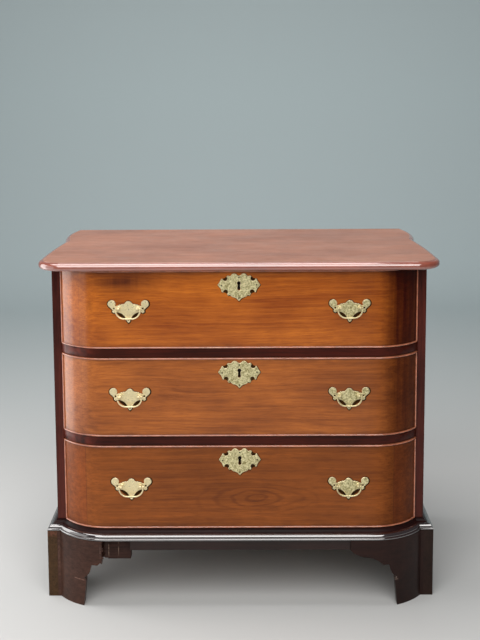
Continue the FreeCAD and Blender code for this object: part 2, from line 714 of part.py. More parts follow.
def make_front_feet():
    """The board follows the rounded end and finishes in a narrow strip beside the side foot."""
    outer = front_curve("foot_projection", end_y="stile - foot_projection")[2:]
    inner = front_curve("foot_projection - foot_thickness", end_y="stile")[2:]
    strip = "case_half - side_foot_lap"
    corners = [("wing_tip", "foot_face")] + outer
    corners += [(strip, "stile - foot_projection"), (strip, "stile")] + reverse_curve(inner)
    corners += [("wing_tip", "foot_face + foot_thickness")]
    blank = prism("front_foot_blank", "XY_Plane", "0", "foot_height", corners)
    waste = prism("front_foot_waste", "XZ_Plane", minus("stile"), "stile - foot_face + 1",
                  scroll("foot_edge", -1))
    right = cut("front_foot_right", blank, [waste])
    whole_left = mirror("front_foot_left_whole", right)
    stump = "-foot_edge + broken_wing"
    ragged = [
        (stump, "foot_height + 1"),
        (f"{stump} - break_step", "foot_height - 4 * break_step"),
        (f"{stump} + break_step / 2", "foot_height - 6 * break_step"),
        (f"{stump} - break_step / 2", "foot_height - 9 * break_step"),
        (f"{stump} - break_step / 2", "fillet_height - break_step"),
        ("-wing_tip + 1", "fillet_height - break_step"),
        ("-wing_tip + 1", "foot_height + 1"),
    ]
    lost = prism("lost_wing", "XZ_Plane", minus("stile"), "stile - foot_face + 1", ragged)
    return [right, cut("front_foot_left", whole_left, [lost])]


def make_side_feet():
    inner = "case_half - side_foot_lap"
    width = "foot_half - case_half + side_foot_lap"
    front_end = "stile - foot_projection"
    length = "min(foot_width + wing_reach; (case_depth + foot_projection) / 2 - 1)"
    feet = []
    for name, end, inward in (("front", front_end, 1), ("rear", "back", -1)):
        tip = f"{end} + {inward} * ({length})"
        low, high = (end, tip) if inward > 0 else (tip, end)
        blank = block(f"side_foot_{name}_blank", (inner, "foot_half"), (low, high), ("0", "foot_height"))
        outline = scroll(f"{end} + {inward} * foot_width", inward)
        waste = prism(f"side_foot_{name}_waste", "YZ_Plane", f"{inner} - 1", f"{width} + 2", outline)
        right = cut(f"side_foot_{name}_right", blank, [waste])
        feet += [right, mirror(f"side_foot_{name}_left", right)]
    return feet


def make_apron_and_brackets():
    depth = ("foot_face + apron_set_back", "foot_face + foot_thickness")
    apron = block("apron", ("-wing_tip", "wing_tip"), depth, ("wing_height", "foot_height"))
    end = "case_half - side_foot_lap"
    corners = [
        (end, "0"),
        (end, "foot_height"),
        (f"{end} - rear_bracket_reach", "foot_height"),
        (f"{end} - rear_bracket_reach", "wing_height"),
        (f"{end} - rear_bracket_foot", "0"),
    ]
    right = prism("rear_bracket", "XZ_Plane", minus("back"), "rear_bracket_thickness", corners)
    return [apron, gather("rear_brackets", [right, mirror("rear_bracket_left", right)])]


def make_blocks():
    """Glue blocks in the four corners, and one behind each front wing."""
    end = "case_half - side_foot_lap"
    across = (f"{end} - block_width", end)
    rear = "back - rear_bracket_thickness"
    blocks = []
    for low, high in (("stile", "stile + block_width"), (f"{rear} - block_width", rear)):
        right = block("corner_block", across, (low, high), ("block_lift", "foot_height"))
        blocks += [right, mirror("corner_block_left", right)]
    wing_y = ("foot_face + foot_thickness", "foot_face + foot_thickness + wing_block_depth")
    hidden = ("foot_height - hidden_block_height", "foot_height")
    exposed = ("foot_height - exposed_block_height", "foot_height")
    blocks.append(block("hidden_block", ("wing_tip", "wing_tip + wing_block_width"), wing_y, hidden))
    blocks.append(block("exposed_block", ("-wing_tip - wing_block_width", "-wing_tip"), wing_y, exposed))
    return gather("foot_blocks", blocks)


# Drawers: each has a shaped front with cockbeads, dovetailed sides, a back and a bottom


def front_blank(name, bottom, height):
    outer = front_curve("0", end_x="front_half")
    inner = front_curve("-front_thickness", end_y="stile")
    reach = inner[-1][0]
    lap = [
        ("front_half", "joint_line"),
        (reach, "joint_line"),
    ]
    other_lap = [
        (minus(reach), "joint_line"),
        ("-front_half", "joint_line"),
    ]
    return prism(f"{name}_front_blank", "XY_Plane", bottom, height,
                 outer + lap + reverse_curve(inner) + other_lap)


def bead_offset(point):
    """How far a point lies outside the chest's front line."""
    beyond = abs(point.x) - value("flat_half")
    if beyond <= 0:
        return value("face") - point.y
    return math.hypot(beyond, point.y - value("corner_y")) - value("corner_radius")


def bead_strip(name, bottom):
    """A long cockbead that follows the front, with its projecting edge eased."""
    outer = front_curve("bead_projection", end_x="front_half")
    inner = front_curve("-bead_depth", end_x="front_half")
    body = new_body(f"{name}_bead")
    strip = pad(body, draw(sketch_on(body, "XY_Plane", bottom), outer + reverse_curve(inner)), "bead_width")
    doc.recompute()
    names = []
    for index, edge in enumerate(strip.Shape.Edges, start=1):
        middle = edge.valueAt((edge.FirstParameter + edge.LastParameter) / 2)
        level = edge.BoundBox.ZLength < 0.01
        if level and abs(bead_offset(middle) - value("bead_projection")) < 0.01:
            names.append(f"Edge{index}")
    nose = body.newObject("PartDesign::Chamfer", "Nose")
    nose.Base = (strip, names)
    nose.setExpression("Size", bind("bead_round"))
    return body


def make_cockbead(name, bottom, height):
    top = f"{bottom} + {height} - bead_width"
    inner = "front_half - bead_width"
    nose = "stile - end_bead_front"
    rear = "joint_line - tail_length - end_bead_gap"
    corners = [
        (f"{inner} + bead_round", nose),
        ("front_half - bead_round", nose),
        ("front_half", f"{nose} + bead_round"),
        ("front_half", rear),
        (inner, rear),
        (inner, f"{nose} + bead_round"),
    ]
    right = prism(f"{name}_end_bead", "XY_Plane", f"{bottom} + bead_width",
                  f"{height} - 2 * bead_width", corners)
    long_beads = [bead_strip(name, bottom), bead_strip(name, top)]
    return long_beads + [right, mirror(f"{name}_end_bead_left", right)]


def drawer_side_outline(low, high, back_low, back_high):
    """A drawer side seen from the side: tails at the front, sockets for the back's pins behind."""
    tails = 3
    pins = 2
    pitch = f"(({high}) - ({low})) / {tails}"
    corners = [("joint_line", low)]
    end = "drawer_back"
    root = "drawer_back - drawer_back_thickness"
    corners.append((end, low))
    pin_pitch = f"(({back_high}) - ({back_low})) / {pins}"
    for index in range(pins):
        middle = f"{back_low} + ({index} + 0.5) * {pin_pitch}"
        corners += [
            (end, f"{middle} - pin_width / 2"),
            (root, f"{middle} - pin_width / 2 - pin_flare"),
            (root, f"{middle} + pin_width / 2 + pin_flare"),
            (end, f"{middle} + pin_width / 2"),
        ]
    corners += [(end, high), ("joint_line", high)]
    tip = "joint_line - tail_length"
    for index in reversed(range(tails)):
        middle = f"{low} + ({index} + 0.5) * {pitch}"
        corners += [
            ("joint_line", f"{middle} + tail_width / 2"),
            (tip, f"{middle} + tail_width / 2 + tail_flare"),
            (tip, f"{middle} - tail_width / 2 - tail_flare"),
            ("joint_line", f"{middle} - tail_width / 2"),
        ]
    return corners


def drawer_bottom(name, low):
    """The bottom follows the front's inner face and slides into grooves all round."""
    edge = front_curve("groove_depth - front_thickness", end_y="stile")
    reach = edge[-1][0]
    groove = "drawer_inner + groove_depth"
    right = [(reach, "joint_line"), (groove, "joint_line"), (groove, "drawer_back")]
    left = [(minus(x), y) for x, y in reversed(right)]
    return prism(f"{name}_bottom", "XY_Plane", low, "drawer_bottom_thickness", edge + right + left)


def keyhole(label, key_z, front, length):
    """A round head over a narrower slot with a rounded end. It runs forward to the given front."""
    half = "key_slot_width / 2"
    meet = f"{key_z} + key_head_rise - sqrt(key_round ^ 2 - ({half}) ^ 2)"
    low = f"{key_z} - key_slot_drop + key_slot_round"
    crown = f"{key_z} + key_head_rise"
    corners = [
        (minus(half), low, "left", "key_slot_round"),
        (half, low),
        (half, meet, "left", "key_round"),
        ("key_round", crown, "left", "key_round"),
        ("0", f"{crown} + key_round", "left", "key_round"),
        ("-key_round", crown, "left", "key_round"),
        (minus(half), meet),
    ]
    return prism(label, "XZ_Plane", minus(f"{front} + {length}"), length, corners)


def key_slot(label, key_z, front, length):
    """The plain slot behind an escutcheon, as wide as the keyhole's round head."""
    height = (f"{key_z} - key_slot_drop", f"{key_z} + key_head_rise + key_round")
    return block(label, ("-key_round", "key_round"), (front, f"{front} + {length}"), height)


def make_lock(name, key_z, top):
    """An iron lock let into the front's back. Its bolt rises from a channel in the lock's top."""
    half = "lock_width / 2"
    lock_top = f"{top} - lock_top_gap"
    case = block(f"{name}_lock_case", (minus(half), half), ("lock_front", "lock_front + lock_thickness"),
                 (f"{key_z} - lock_below_key", lock_top))
    bolt_half = "bolt_width / 2"
    bolt_low = f"{lock_top} - bolt_length"
    bolt = block(f"{name}_lock_bolt", (minus(bolt_half), bolt_half),
                 ("bolt_front", "bolt_front + bolt_thickness"), (bolt_low, lock_top))
    room = f"{bolt_half} + bolt_clearance"
    channel = block(f"{name}_channel", (minus(room), room),
                    ("bolt_front - bolt_clearance", "bolt_front + bolt_thickness + bolt_clearance"),
                    (f"{bolt_low} - bolt_clearance", f"{lock_top} + 1"))
    ward = key_slot(f"{name}_ward", key_z, "lock_front - 1", "lock_thickness - lock_wall + 1")
    return cut(f"{name}_lock", case, [channel, ward]), bolt


# Brasses: pierced plates, posts with nuts, and swinging bails


def make_escutcheon(name, key_z):
    """Half of the scalloped outline, mirrored, then pierced by the keyhole."""
    corners = [("0", "-scutcheon_tip"), ("scutcheon_neck", "-scutcheon_neck_drop")]
    corners += facets("scallop_reach", "-scallop_drop", "scallop_radius", -89, -18, 2)
    corners.append(("low_horn", "-low_horn_drop"))
    corners += facets("low_bite_reach", "-low_bite_drop", "bite_radius", 236, -12, 5)
    corners += [("low_barb", "-low_barb_drop"), ("cheek_half", "-cheek_drop"), ("ear_reach", "ear_rise")]
    corners += [("brow_half", "brow_rise"), ("high_barb", "high_barb_rise")]
    corners += facets("high_bite_reach", "high_bite_rise", "bite_radius", -8, -232, 5)
    corners += [("high_horn", "high_horn_rise"), ("notch_half", "notch_rise")]
    corners += facets("bump_reach", "bump_rise", "scallop_radius", 23, 154, 4)
    corners.append(("0", "dip_rise"))
    body = new_body(f"{name}_escutcheon_plate")
    half = pad(body, draw(sketch_on(body, "XZ_Plane"), corners), "plate_thickness")
    mirror_in_body(body, [half])
    place(body, "0", "face", key_z)
    pierced = keyhole(f"{name}_escutcheon_key", key_z, "face - plate_thickness - 1", "plate_thickness + 2")
    return cut(f"{name}_escutcheon", body, [pierced])


def pull_plate(name, post_z):
    """Half of the bat-wing outline, mirrored, with its eyes and post holes."""
    corners = [("0", "-drop_tip"), ("drop_lobe", "-drop_lobe_drop")]
    corners += facets("hollow_reach", "-hollow_drop", "hollow_radius", 156, 98, 2)
    corners += [
        ("wing_spur", "-wing_spur_drop"),
        ("wing_corner", "-wing_corner_drop"),
        ("wing_waist", "-wing_waist_drop"),
    ]
    corners += facets("lobe_reach", "lobe_rise", "lobe_radius", -60, 215, 7)
    corners += [
        ("neck_half", "neck_rise"),
        ("shoulder_end", "shoulder_end_rise"),
        ("shoulder_half", "shoulder_rise"),
    ]
    corners += facets("0", "crest_rise", "crest_radius", 27, 90, 2)
    body = new_body(f"{name}_pull_plate")
    sketch = draw(sketch_on(body, "XZ_Plane"), corners)
    draw(sketch, octagon("post_half", "0", "post_shank + post_clearance"))
    draw(sketch, octagon("eye_reach", "eye_rise", "eye_radius"))
    mirror_in_body(body, [pad(body, sketch, "plate_thickness")])
    return place(body, "pull_spread", "face", post_z)


def post_section(x, y, z, half):
    """One eight-sided section of a post, square to Y."""
    ring = doc.addObject("Part::RegularPolygon", "Section")
    ring.Polygon = 8
    lay = FreeCAD.Rotation(Vector(0, 0, 1), Vector(0, 1, 0))
    ring.Placement.Rotation = lay.multiply(FreeCAD.Rotation(Vector(0, 0, 1), 22.5))
    ring.setExpression("Circumradius", bind(f"({half}) / cos(22.5 deg)"))
    return place(ring, x, y, z)


def pull_post(name, x, post_z):
    """A post with a shank and a swelling head, whose outer flat is bored for the bail's pivot, and
    the square nut that closes its inner end."""
    head = "face - post_reach"
    neck = "post_ball_flat + post_ball - post_shank"
    sections = [
        post_section(x, "inner_face", post_z, "post_shank"),
        post_section(x, f"{head} + {neck}", post_z, "post_shank"),
        post_section(x, f"{head} + post_ball_flat", post_z, "post_ball"),
        post_section(x, f"{head} - post_ball_flat", post_z, "post_ball"),
        post_section(x, f"{head} - post_ball", post_z, "post_ball_nose"),
    ]
    blank = doc.addObject("Part::Loft", "Post")
    blank.Sections = sections
    blank.Solid = True
    blank.Ruled = True
    blank.Label = f"{name}_post_blank"
    hole = rod("pivot_hole", Vector(1, 0, 0), f"{x} + post_ball - bail_pin_depth - bail_pin_gap", head, post_z,
               "bail_pin + pivot_clearance", "bail_pin_depth + bail_pin_gap + 1")
    side = "nut_width / 2"
    nut = block(f"{name}_nut", (f"{x} - {side}", f"{x} + {side}"),
                ("inner_face", "inner_face + nut_depth"), (f"{post_z} - {side}", f"{post_z} + {side}"))
    return [cut(f"{name}_post", blank, [hole]), nut]


def make_bail(label, post_z):
    """Half of the bail from its elbow down to the middle, mirrored. Its lower bend is made of short
    mitred lengths, and its pivots are thinner than the bar."""
    body = new_body(label)
    path = [("bail_arm", "0")]
    bends = 3
    for step in range(bends + 1):
        turn = f"({90 / bends * step} deg)"
        path.append((f"bail_arm - bail_bend * (1 - cos{turn})",
                     f"bail_bend - bail_drop - bail_bend * sin{turn}"))
    path.append(("0", "-bail_drop"))
    spine = draw(sketch_on(body, "XZ_Plane"), path, closed=False)
    section = draw(sketch_on(body, "XY_Plane"), octagon("bail_arm", "0", "bail_radius"))
    bar = body.newObject("PartDesign::AdditivePipe", "Bar")
    bar.Profile = section
    bar.Spine = spine
    bar.Transition = "Right corner"
    start = "post_half + post_ball + bail_elbow_gap"
    eye = draw(sketch_on(body, "YZ_Plane", start), octagon("0", "0", "bail_elbow"))
    knuckle = pad(body, eye, f"bail_arm + bail_radius - ({start})")
    inner = "post_half + post_ball - bail_pin_depth"
    pin = draw(sketch_on(body, "YZ_Plane", inner), octagon("0", "0", "bail_pin"))
    pivot = pad(body, pin, f"bail_arm - ({inner})")
    mirror_in_body(body, [bar, knuckle, pivot])
    return place(body, "pull_spread", "pivot_y", post_z)


def make_drawer(name, bottom, height):
    """Everything that one drawer carries, as a list of finished sub-parts."""
    top = f"{bottom} + {height}"
    key_z = f"{top} - key_drop"
    post_z = f"{bottom} + {height} / 2 + pull_rise"
    beads = make_cockbead(name, bottom, height)
    floor_low = f"{bottom} + drawer_bottom_lift"
    floor = drawer_bottom(name + "_drawer", floor_low)
    side_low = f"{bottom} - gap_below + drawer_run_gap"
    side_high = f"{top} - drawer_side_drop"
    back_low = f"{floor_low} + drawer_bottom_thickness"
    back_high = f"{side_high} - drawer_back_drop"
    side_blank = prism(f"{name}_side_blank", "YZ_Plane", "drawer_inner", "drawer_side_thickness",
                       drawer_side_outline(side_low, side_high, back_low, back_high))
    right = cut(f"{name}_drawer_side_right", side_blank, [floor])
    left = mirror(f"{name}_drawer_side_left", right)
    back_blank = block(f"{name}_back_blank", ("-drawer_half", "drawer_half"),
                       ("drawer_back - drawer_back_thickness", "drawer_back"), (back_low, back_high))
    back_board = cut(f"{name}_drawer_back", back_blank, [right, left])
    lock, bolt = make_lock(name, key_z, top)
    recess = block(f"{name}_recess", ("-lock_width / 2", "lock_width / 2"), ("lock_front", "inner_face + 1"),
                   (f"{key_z} - lock_below_key", f"{top} + 1"))
    tools = beads + [floor, right, left, recess]
    tools.append(key_slot(f"{name}_front_key", key_z, "face - 1", "front_thickness + 2"))
    beside = ("joint_line - tail_length", "joint_line + 1")
    for ends in (("drawer_half", "front_half + 1"), ("-front_half - 1", "-drawer_half")):
        tools.append(block(f"{name}_lap", ends, beside, (f"{bottom} + bead_width", f"{top} - bead_width")))
    posts = pull_post(name, "pull_spread + post_half", post_z)
    posts += [mirror("post_inner", piece, "pull_spread") for piece in posts]
    posts += [mirror("post_left", piece) for piece in posts]
    for x in ("pull_spread - post_half", "pull_spread + post_half"):
        for post_x in (x, minus(x)):
            tools.append(rod("post_hole", Vector(0, 1, 0), post_x, "face - 1", post_z,
                             "post_shank + post_clearance", "front_thickness + 2"))
    front = cut(f"{name}_drawer_front", front_blank(name, bottom, height), tools)
    plate = pull_plate(name, post_z)
    bail = make_bail(f"{name}_bail_right", post_z)
    floor.Label = f"{name}_drawer_bottom"
    return [
        front,
        gather(f"{name}_cockbead", beads),
        right,
        left,
        back_board,
        floor,
        lock,
        bolt,
        make_escutcheon(name, key_z),
        gather(f"{name}_pull_plates", [plate, mirror("pull_plate_left", plate)]),
        gather(f"{name}_pull_posts", posts),
        bail,
        mirror(f"{name}_bail_left", bail),
    ]


# Assembly
shelves = make_shelves()
parts = shelves + make_sides(shelves) + [make_back()] + make_runners_and_stops() + [make_top()]
parts += make_moulding() + make_front_feet() + make_side_feet() + make_apron_and_brackets()
parts.append(make_blocks())
for drawer in ("upper", "middle", "lower"):
    parts += make_drawer(drawer, f"{drawer}_bottom", f"{drawer}_height")
doc.recompute()

for thing in doc.Objects:
    if "Invalid" in thing.State or "Error" in thing.State:
        raise RuntimeError(f"{thing.Label} failed to build: {thing.State}")
for part in parts:
    if part.Shape.isNull() or not part.Shape.isValid() or not part.Shape.Solids:
        raise RuntimeError(f"{part.Label} is not a valid solid")

os.makedirs("parts", exist_ok=True)
for part in parts:
    part.Shape.exportStep(f"parts/{part.Label}.step")
    print(f"{part.Label}: {len(part.Shape.Solids)} solids, {part.Shape.Volume / 1000:.1f} cm3")
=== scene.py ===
# A low chest of three long drawers with rounded ends, dressed in its woods and brasses
import math

import bmesh
import bpy
import numpy as np
from mathutils import Euler, Matrix, Vector


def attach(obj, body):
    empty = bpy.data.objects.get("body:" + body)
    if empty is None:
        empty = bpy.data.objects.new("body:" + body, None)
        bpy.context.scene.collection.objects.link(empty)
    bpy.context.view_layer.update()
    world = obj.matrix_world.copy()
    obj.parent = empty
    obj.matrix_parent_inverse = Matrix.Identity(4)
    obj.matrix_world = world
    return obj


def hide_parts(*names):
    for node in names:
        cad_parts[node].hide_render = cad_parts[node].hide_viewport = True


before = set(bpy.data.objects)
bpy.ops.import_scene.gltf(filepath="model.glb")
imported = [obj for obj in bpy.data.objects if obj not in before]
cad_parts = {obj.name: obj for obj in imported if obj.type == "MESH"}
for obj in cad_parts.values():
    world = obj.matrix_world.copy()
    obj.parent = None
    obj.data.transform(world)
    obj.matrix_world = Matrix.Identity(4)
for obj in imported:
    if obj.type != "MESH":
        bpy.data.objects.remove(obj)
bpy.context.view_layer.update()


# Case sides. Each is one wide mahogany board with its grain upright, polished outside and left bare
# within. Its front edge shows beside the drawers as the stile. Rails and bottom are housed into it.
def tint(red, green, blue):
    """A colour as a screen shows it, from 0 to 255, made into the linear colour that a shader takes."""
    screen = np.array([red, green, blue]) / 255
    linear = np.where(screen <= 0.04045, screen / 12.92, ((screen + 0.055) / 1.055) ** 2.4)
    return (*linear.tolist(), 1.0)


def add(tree, kind, inputs=None, **settings):
    """Adds a shader node, sets its properties, and fills or links its inputs."""
    node = tree.nodes.new(kind)
    for key, setting in settings.items():
        setattr(node, key, setting)
    for key, source in (inputs or {}).items():
        if isinstance(source, bpy.types.NodeSocket):
            tree.links.new(source, node.inputs[key])
        else:
            node.inputs[key].default_value = source
    return node


def reckon(tree, operation, first, second):
    """One sum on two values."""
    return add(tree, "ShaderNodeMath", {0: first, 1: second}, operation=operation).outputs[0]


def cloud(tree, place, stretch, detail, rough=0.5):
    """Cloudy noise from 0 to 1 on a place that is first stretched along each axis."""
    spot = add(tree, "ShaderNodeVectorMath", {0: place, 1: stretch}, operation="MULTIPLY").outputs[0]
    inputs = {"Vector": spot, "Scale": 1.0, "Detail": detail, "Roughness": rough}
    return add(tree, "ShaderNodeTexNoise", inputs).outputs["Fac"]


def span(tree, value, low, high):
    """A value spread so that low becomes 0 and high becomes 1, and no further."""
    return add(tree, "ShaderNodeMapRange", {"Value": value, "From Min": low, "From Max": high}).outputs[0]


def blend(tree, amount, first, second, kind="MIX"):
    """Two colours mixed by an amount."""
    node = add(tree, "ShaderNodeMix", {0: amount, 6: first, 7: second}, data_type="RGBA", blend_type=kind)
    return node.outputs[2]


def new_group(name, inputs, outputs):
    """An empty shader group with named sockets, its given sockets and its output node."""
    tree = bpy.data.node_groups.new(name, "ShaderNodeTree")
    kinds = {"colour": "NodeSocketColor", "value": "NodeSocketFloat", "vector": "NodeSocketVector"}
    for label, kind in inputs:
        tree.interface.new_socket(label, in_out="INPUT", socket_type=kinds[kind])
    for label, kind in outputs:
        tree.interface.new_socket(label, in_out="OUTPUT", socket_type=kinds[kind])
    return tree, add(tree, "NodeGroupInput").outputs, add(tree, "NodeGroupOutput")


def make_wood_figure():
    """Timber with its grain along X: broad bands that wander, fine streaks, short dark dashes, pores and
    slow clouds between a pale and a deep colour. The lightening input pales it where hands and dusters
    pass and where a highlight is painted. The staining input reddens and darkens it along upright lines,
    for old staining and for painted shade. The soiling input darkens it in patches, for soiling and for
    painted shade."""
    inputs = [("Place", "vector"), ("Pale", "colour"), ("Deep", "colour"), ("Bands", "value"),
              ("Clouds", "value"), ("Rub", "value"), ("Stain", "value"), ("Grime", "value")]
    outputs = [("Color", "colour"), ("Roughness", "value"), ("Height", "value")]
    tree, given, made = new_group("wood_figure", inputs, outputs)
    place = given["Place"]
    wander = reckon(tree, "MULTIPLY", cloud(tree, place, (2.1, 4.0, 4.0), 2.0), 0.035)
    drift = add(tree, "ShaderNodeCombineXYZ", {"Y": wander, "Z": wander}).outputs[0]
    grain = add(tree, "ShaderNodeVectorMath", {0: place, 1: drift}, operation="ADD").outputs[0]
    bands = span(tree, cloud(tree, grain, (2.6, 105.0, 105.0), 5.0, 0.62), 0.32, 0.68)
    streaks = span(tree, cloud(tree, grain, (6.0, 260.0, 260.0), 3.0, 0.6), 0.3, 0.7)
    dashes = span(tree, cloud(tree, grain, (30.0, 420.0, 420.0), 2.0, 0.55), 0.5, 0.72)
    fibres = cloud(tree, grain, (60.0, 1500.0, 1500.0), 2.0)
    slow = span(tree, cloud(tree, place, (5.0, 9.0, 9.0), 3.0, 0.55), 0.34, 0.66)
    tone = reckon(tree, "MULTIPLY", bands, given["Bands"])
    tone = reckon(tree, "ADD", tone, reckon(tree, "MULTIPLY", slow, given["Clouds"]))
    tone = reckon(tree, "ADD", tone, reckon(tree, "MULTIPLY", streaks, 0.3))
    colour = blend(tree, span(tree, tone, 0.15, 1.0), given["Pale"], given["Deep"])
    pores = span(tree, fibres, 0.58, 0.72)
    dark = reckon(tree, "MULTIPLY", dashes, 0.4)
    dark = reckon(tree, "MAXIMUM", dark, reckon(tree, "MULTIPLY", pores, 0.4))
    darker = blend(tree, 1.0, given["Deep"], (0.62, 0.55, 0.5, 1.0), "MULTIPLY")
    colour = blend(tree, dark, colour, darker)
    lines = span(tree, cloud(tree, place, (85.0, 85.0, 2.5), 3.0, 0.6), 0.25, 0.6)
    depth = reckon(tree, "ADD", reckon(tree, "MULTIPLY", lines, 0.2), 0.85)
    stained = reckon(tree, "MULTIPLY", given["Stain"], depth)
    colour = blend(tree, stained, colour, blend(tree, 1.0, colour, (0.1, 0.03, 0.02, 1.0), "MULTIPLY"))
    patchy = span(tree, cloud(tree, place, (60.0, 60.0, 60.0), 3.0), 0.3, 0.62)
    rubbed = reckon(tree, "MULTIPLY", given["Rub"], patchy)
    paler = blend(tree, 1.0, given["Pale"], (1.7, 1.65, 1.65, 1.0), "MULTIPLY")
    colour = blend(tree, rubbed, colour, paler)
    uneven = span(tree, cloud(tree, place, (35.0, 35.0, 35.0), 4.0), 0.25, 0.7)
    dirty = reckon(tree, "MULTIPLY", given["Grime"], uneven)
    colour = blend(tree, dirty, colour, tint(24, 13, 9))
    tree.links.new(colour, made.inputs["Color"])
    smears = span(tree, cloud(tree, place, (9.0, 14.0, 14.0), 4.0, 0.6), 0.3, 0.7)
    rough = reckon(tree, "ADD", reckon(tree, "MULTIPLY", smears, 0.14), 0.3)
    rough = reckon(tree, "ADD", rough, reckon(tree, "MULTIPLY", dirty, 0.25))
    tree.links.new(rough, made.inputs["Roughness"])
    relief = reckon(tree, "SUBTRACT", reckon(tree, "MULTIPLY", streaks, 0.4), pores)
    tree.links.new(relief, made.inputs["Height"])
    return tree


wood_figure = make_wood_figure()
ALONG_X = (0.0, 0.0, 0.0)
ALONG_Y = (0.0, 0.0, -math.pi / 2)
UPRIGHT = (0.0, math.pi / 2, 0.0)


def new_material(name):
    """An empty material, its shader tree, and the place on the piece that patterns are laid by."""
    material = bpy.data.materials.new(name)
    material.use_nodes = True
    tree = material.node_tree
    tree.nodes.clear()
    return material, tree, add(tree, "ShaderNodeTexCoord").outputs["Object"]


def marked(tree, name):
    """One of the piece's own attributes, which say where it is lightened by handling or by painted
    highlight, darkened by age, soiling or painted shade, or polished.
    """
    return add(tree, "ShaderNodeAttribute", attribute_name=name).outputs["Fac"]


def finish_material(tree, inputs):
    """Ends a material with its one shader and the output."""
    shader = add(tree, "ShaderNodeBsdfPrincipled", inputs)
    add(tree, "ShaderNodeOutputMaterial", {"Surface": shader.outputs[0]})


def wood(name, pale, deep, turn, bands=0.5, clouds=0.5, coat=0.0, relief=0.2, shift=(0.0, 0.0, 0.0),
         dull=0.0, under=0.2, mirror=0.2, shine=1.5, after=None):
    """A timber whose grain is turned along the piece. Bands and clouds give its figure, relief its open
    pores, and dull a dry face. Coat is the polish on it, or the word polish where the piece's attribute
    gives that, with mirror its roughness, shine its index, and under the sheen of the wood below. After
    may add marks."""
    material, tree, place = new_material(name)
    laid = add(tree, "ShaderNodeMapping", {"Vector": place, "Rotation": turn, "Location": shift}).outputs[0]
    inputs = {"Place": laid, "Pale": pale, "Deep": deep, "Bands": bands, "Clouds": clouds}
    inputs.update({label: marked(tree, label.lower()) for label in ("Rub", "Stain", "Grime")})
    figure = add(tree, "ShaderNodeGroup", inputs, node_tree=wood_figure)
    pore_depth = 0.0003
    bump = add(tree, "ShaderNodeBump", {"Height": figure.outputs["Height"], "Strength": relief,
                                        "Distance": pore_depth}).outputs[0]
    colour = figure.outputs["Color"]
    if after:
        colour = after(tree, place, colour)
    rough = figure.outputs["Roughness"]
    if dull:
        rough = reckon(tree, "ADD", rough, dull)
    if coat == "polish":
        coat = marked(tree, coat)
    finish_material(tree, {"Base Color": colour, "Roughness": rough, "Normal": bump,
                           "Specular IOR Level": under, "Coat Weight": coat, "Coat Roughness": mirror,
                           "Coat IOR": shine})
    return material


def dress(names, material, ease=0.0):
    """Gives kept pieces their material and, where asked, eases their sharp edges."""
    for name in names:
        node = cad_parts[name]
        node.data.materials.clear()
        node.data.materials.append(material)
        if ease:
            joined_up = node.modifiers.new("joined", "WELD")
            joined_up.merge_threshold = 0.00001
            eased = node.modifiers.new("eased", "BEVEL")
            eased.width = ease
            eased.segments = 2
            eased.limit_method = "ANGLE"
            eased.angle_limit = math.radians(40)
            eased.harden_normals = True


side_wood = wood("side_mahogany", tint(92, 38, 28), tint(50, 17, 12), UPRIGHT, clouds=0.45, coat=0.2,
                 under=0.1)
dress(["side_left", "side_right"], side_wood, ease=0.0007)


# Back, bottom, runners and stops. Plain softwood boards, rough from the plane and browned by age,
# nailed into the sides' rebates or glued along them. Drawers rub the runners pale.
backing_wood = wood("backing_boards", tint(150, 112, 76), tint(92, 62, 40), ALONG_X, bands=0.6,
                    relief=0.6, dull=0.35)
dress(["back_boards", "bottom_board"], backing_wood, ease=0.0015)
runner_wood = wood("runner_strips", tint(168, 130, 88), tint(120, 86, 54), ALONG_Y, clouds=0.4,
                   relief=0.5, dull=0.32)
dress(["runners"], runner_wood)
stop_wood = wood("stop_blocks", tint(160, 122, 82), tint(112, 80, 50), ALONG_X, clouds=0.4, relief=0.5,
                 dull=0.32)
dress(["drawer_stops"], stop_wood)


# Rails between the drawers. Mahogany boards sawn to the chest's rounded front, with a shallow mortise
# under each for the bolt of the lock below. Their ends are housed in the sides.
flat_half = 0.32437
face_y = -0.2535
stile_y = -0.1935
corner_y = -0.1215
corner_radius = 0.132
RAILS = {"lower_rail": (0.4015, 0.4225), "upper_rail": (0.6182, 0.6392)}
mortise_half = 0.0155
mortise_front = -0.2305
mortise_back = -0.2205
mortise_depth = 0.010


def flipped(line):
    """A line in plan, mirrored to the other side and walked the other way."""
    return (np.asarray(line) * (-1, 1))[::-1]


def front_line(offset, turn, straight):
    """The chest's front line in plan, moved out by an offset: an arc that turns up to the left end,
    the flat middle at the given places, and the same arc to the right end."""
    bend = np.linspace(0, turn, 29)[1:]
    radius = corner_radius + offset
    arc = np.stack([flat_half + radius * np.sin(bend), corner_y - radius * np.cos(bend)], 1)
    middle = np.stack([straight, np.full_like(straight, face_y - offset)], 1)
    return np.concatenate([flipped(arc), middle, arc])


def carried(outer, inner, across, up):
    """A section carried along a line: each of its points lies its share of the way across from the
    outer line to the inner line, at its own height. Gives a grid of places, line by section."""
    share = np.asarray(across)[None, :, None]
    plan = outer[:, None] * (1 - share) + inner[:, None] * share
    height = np.broadcast_to(np.asarray(up)[None, :, None], plan.shape[:2] + (1,))
    return np.concatenate([plan, height], 2)


def skin(rows, columns, start=0, closed=True, capped=True):
    """Faces over a grid: a quad between each pair of neighbours, the last column joined to the first
    where the section is closed, and a face over each end."""
    row = np.arange(rows - 1)[:, None]
    column = np.arange(columns if closed else columns - 1)[None, :]
    after = (column + 1) % columns
    corners = [row * columns + column, row * columns + after,
               (row + 1) * columns + after, (row + 1) * columns + column]
    faces = (np.stack(corners, -1).reshape(-1, 4) + start).tolist()
    if capped:
        faces.append(list(range(start, start + columns)))
        faces.append(list(range(start + (rows - 1) * columns, start + rows * columns)))
    return faces


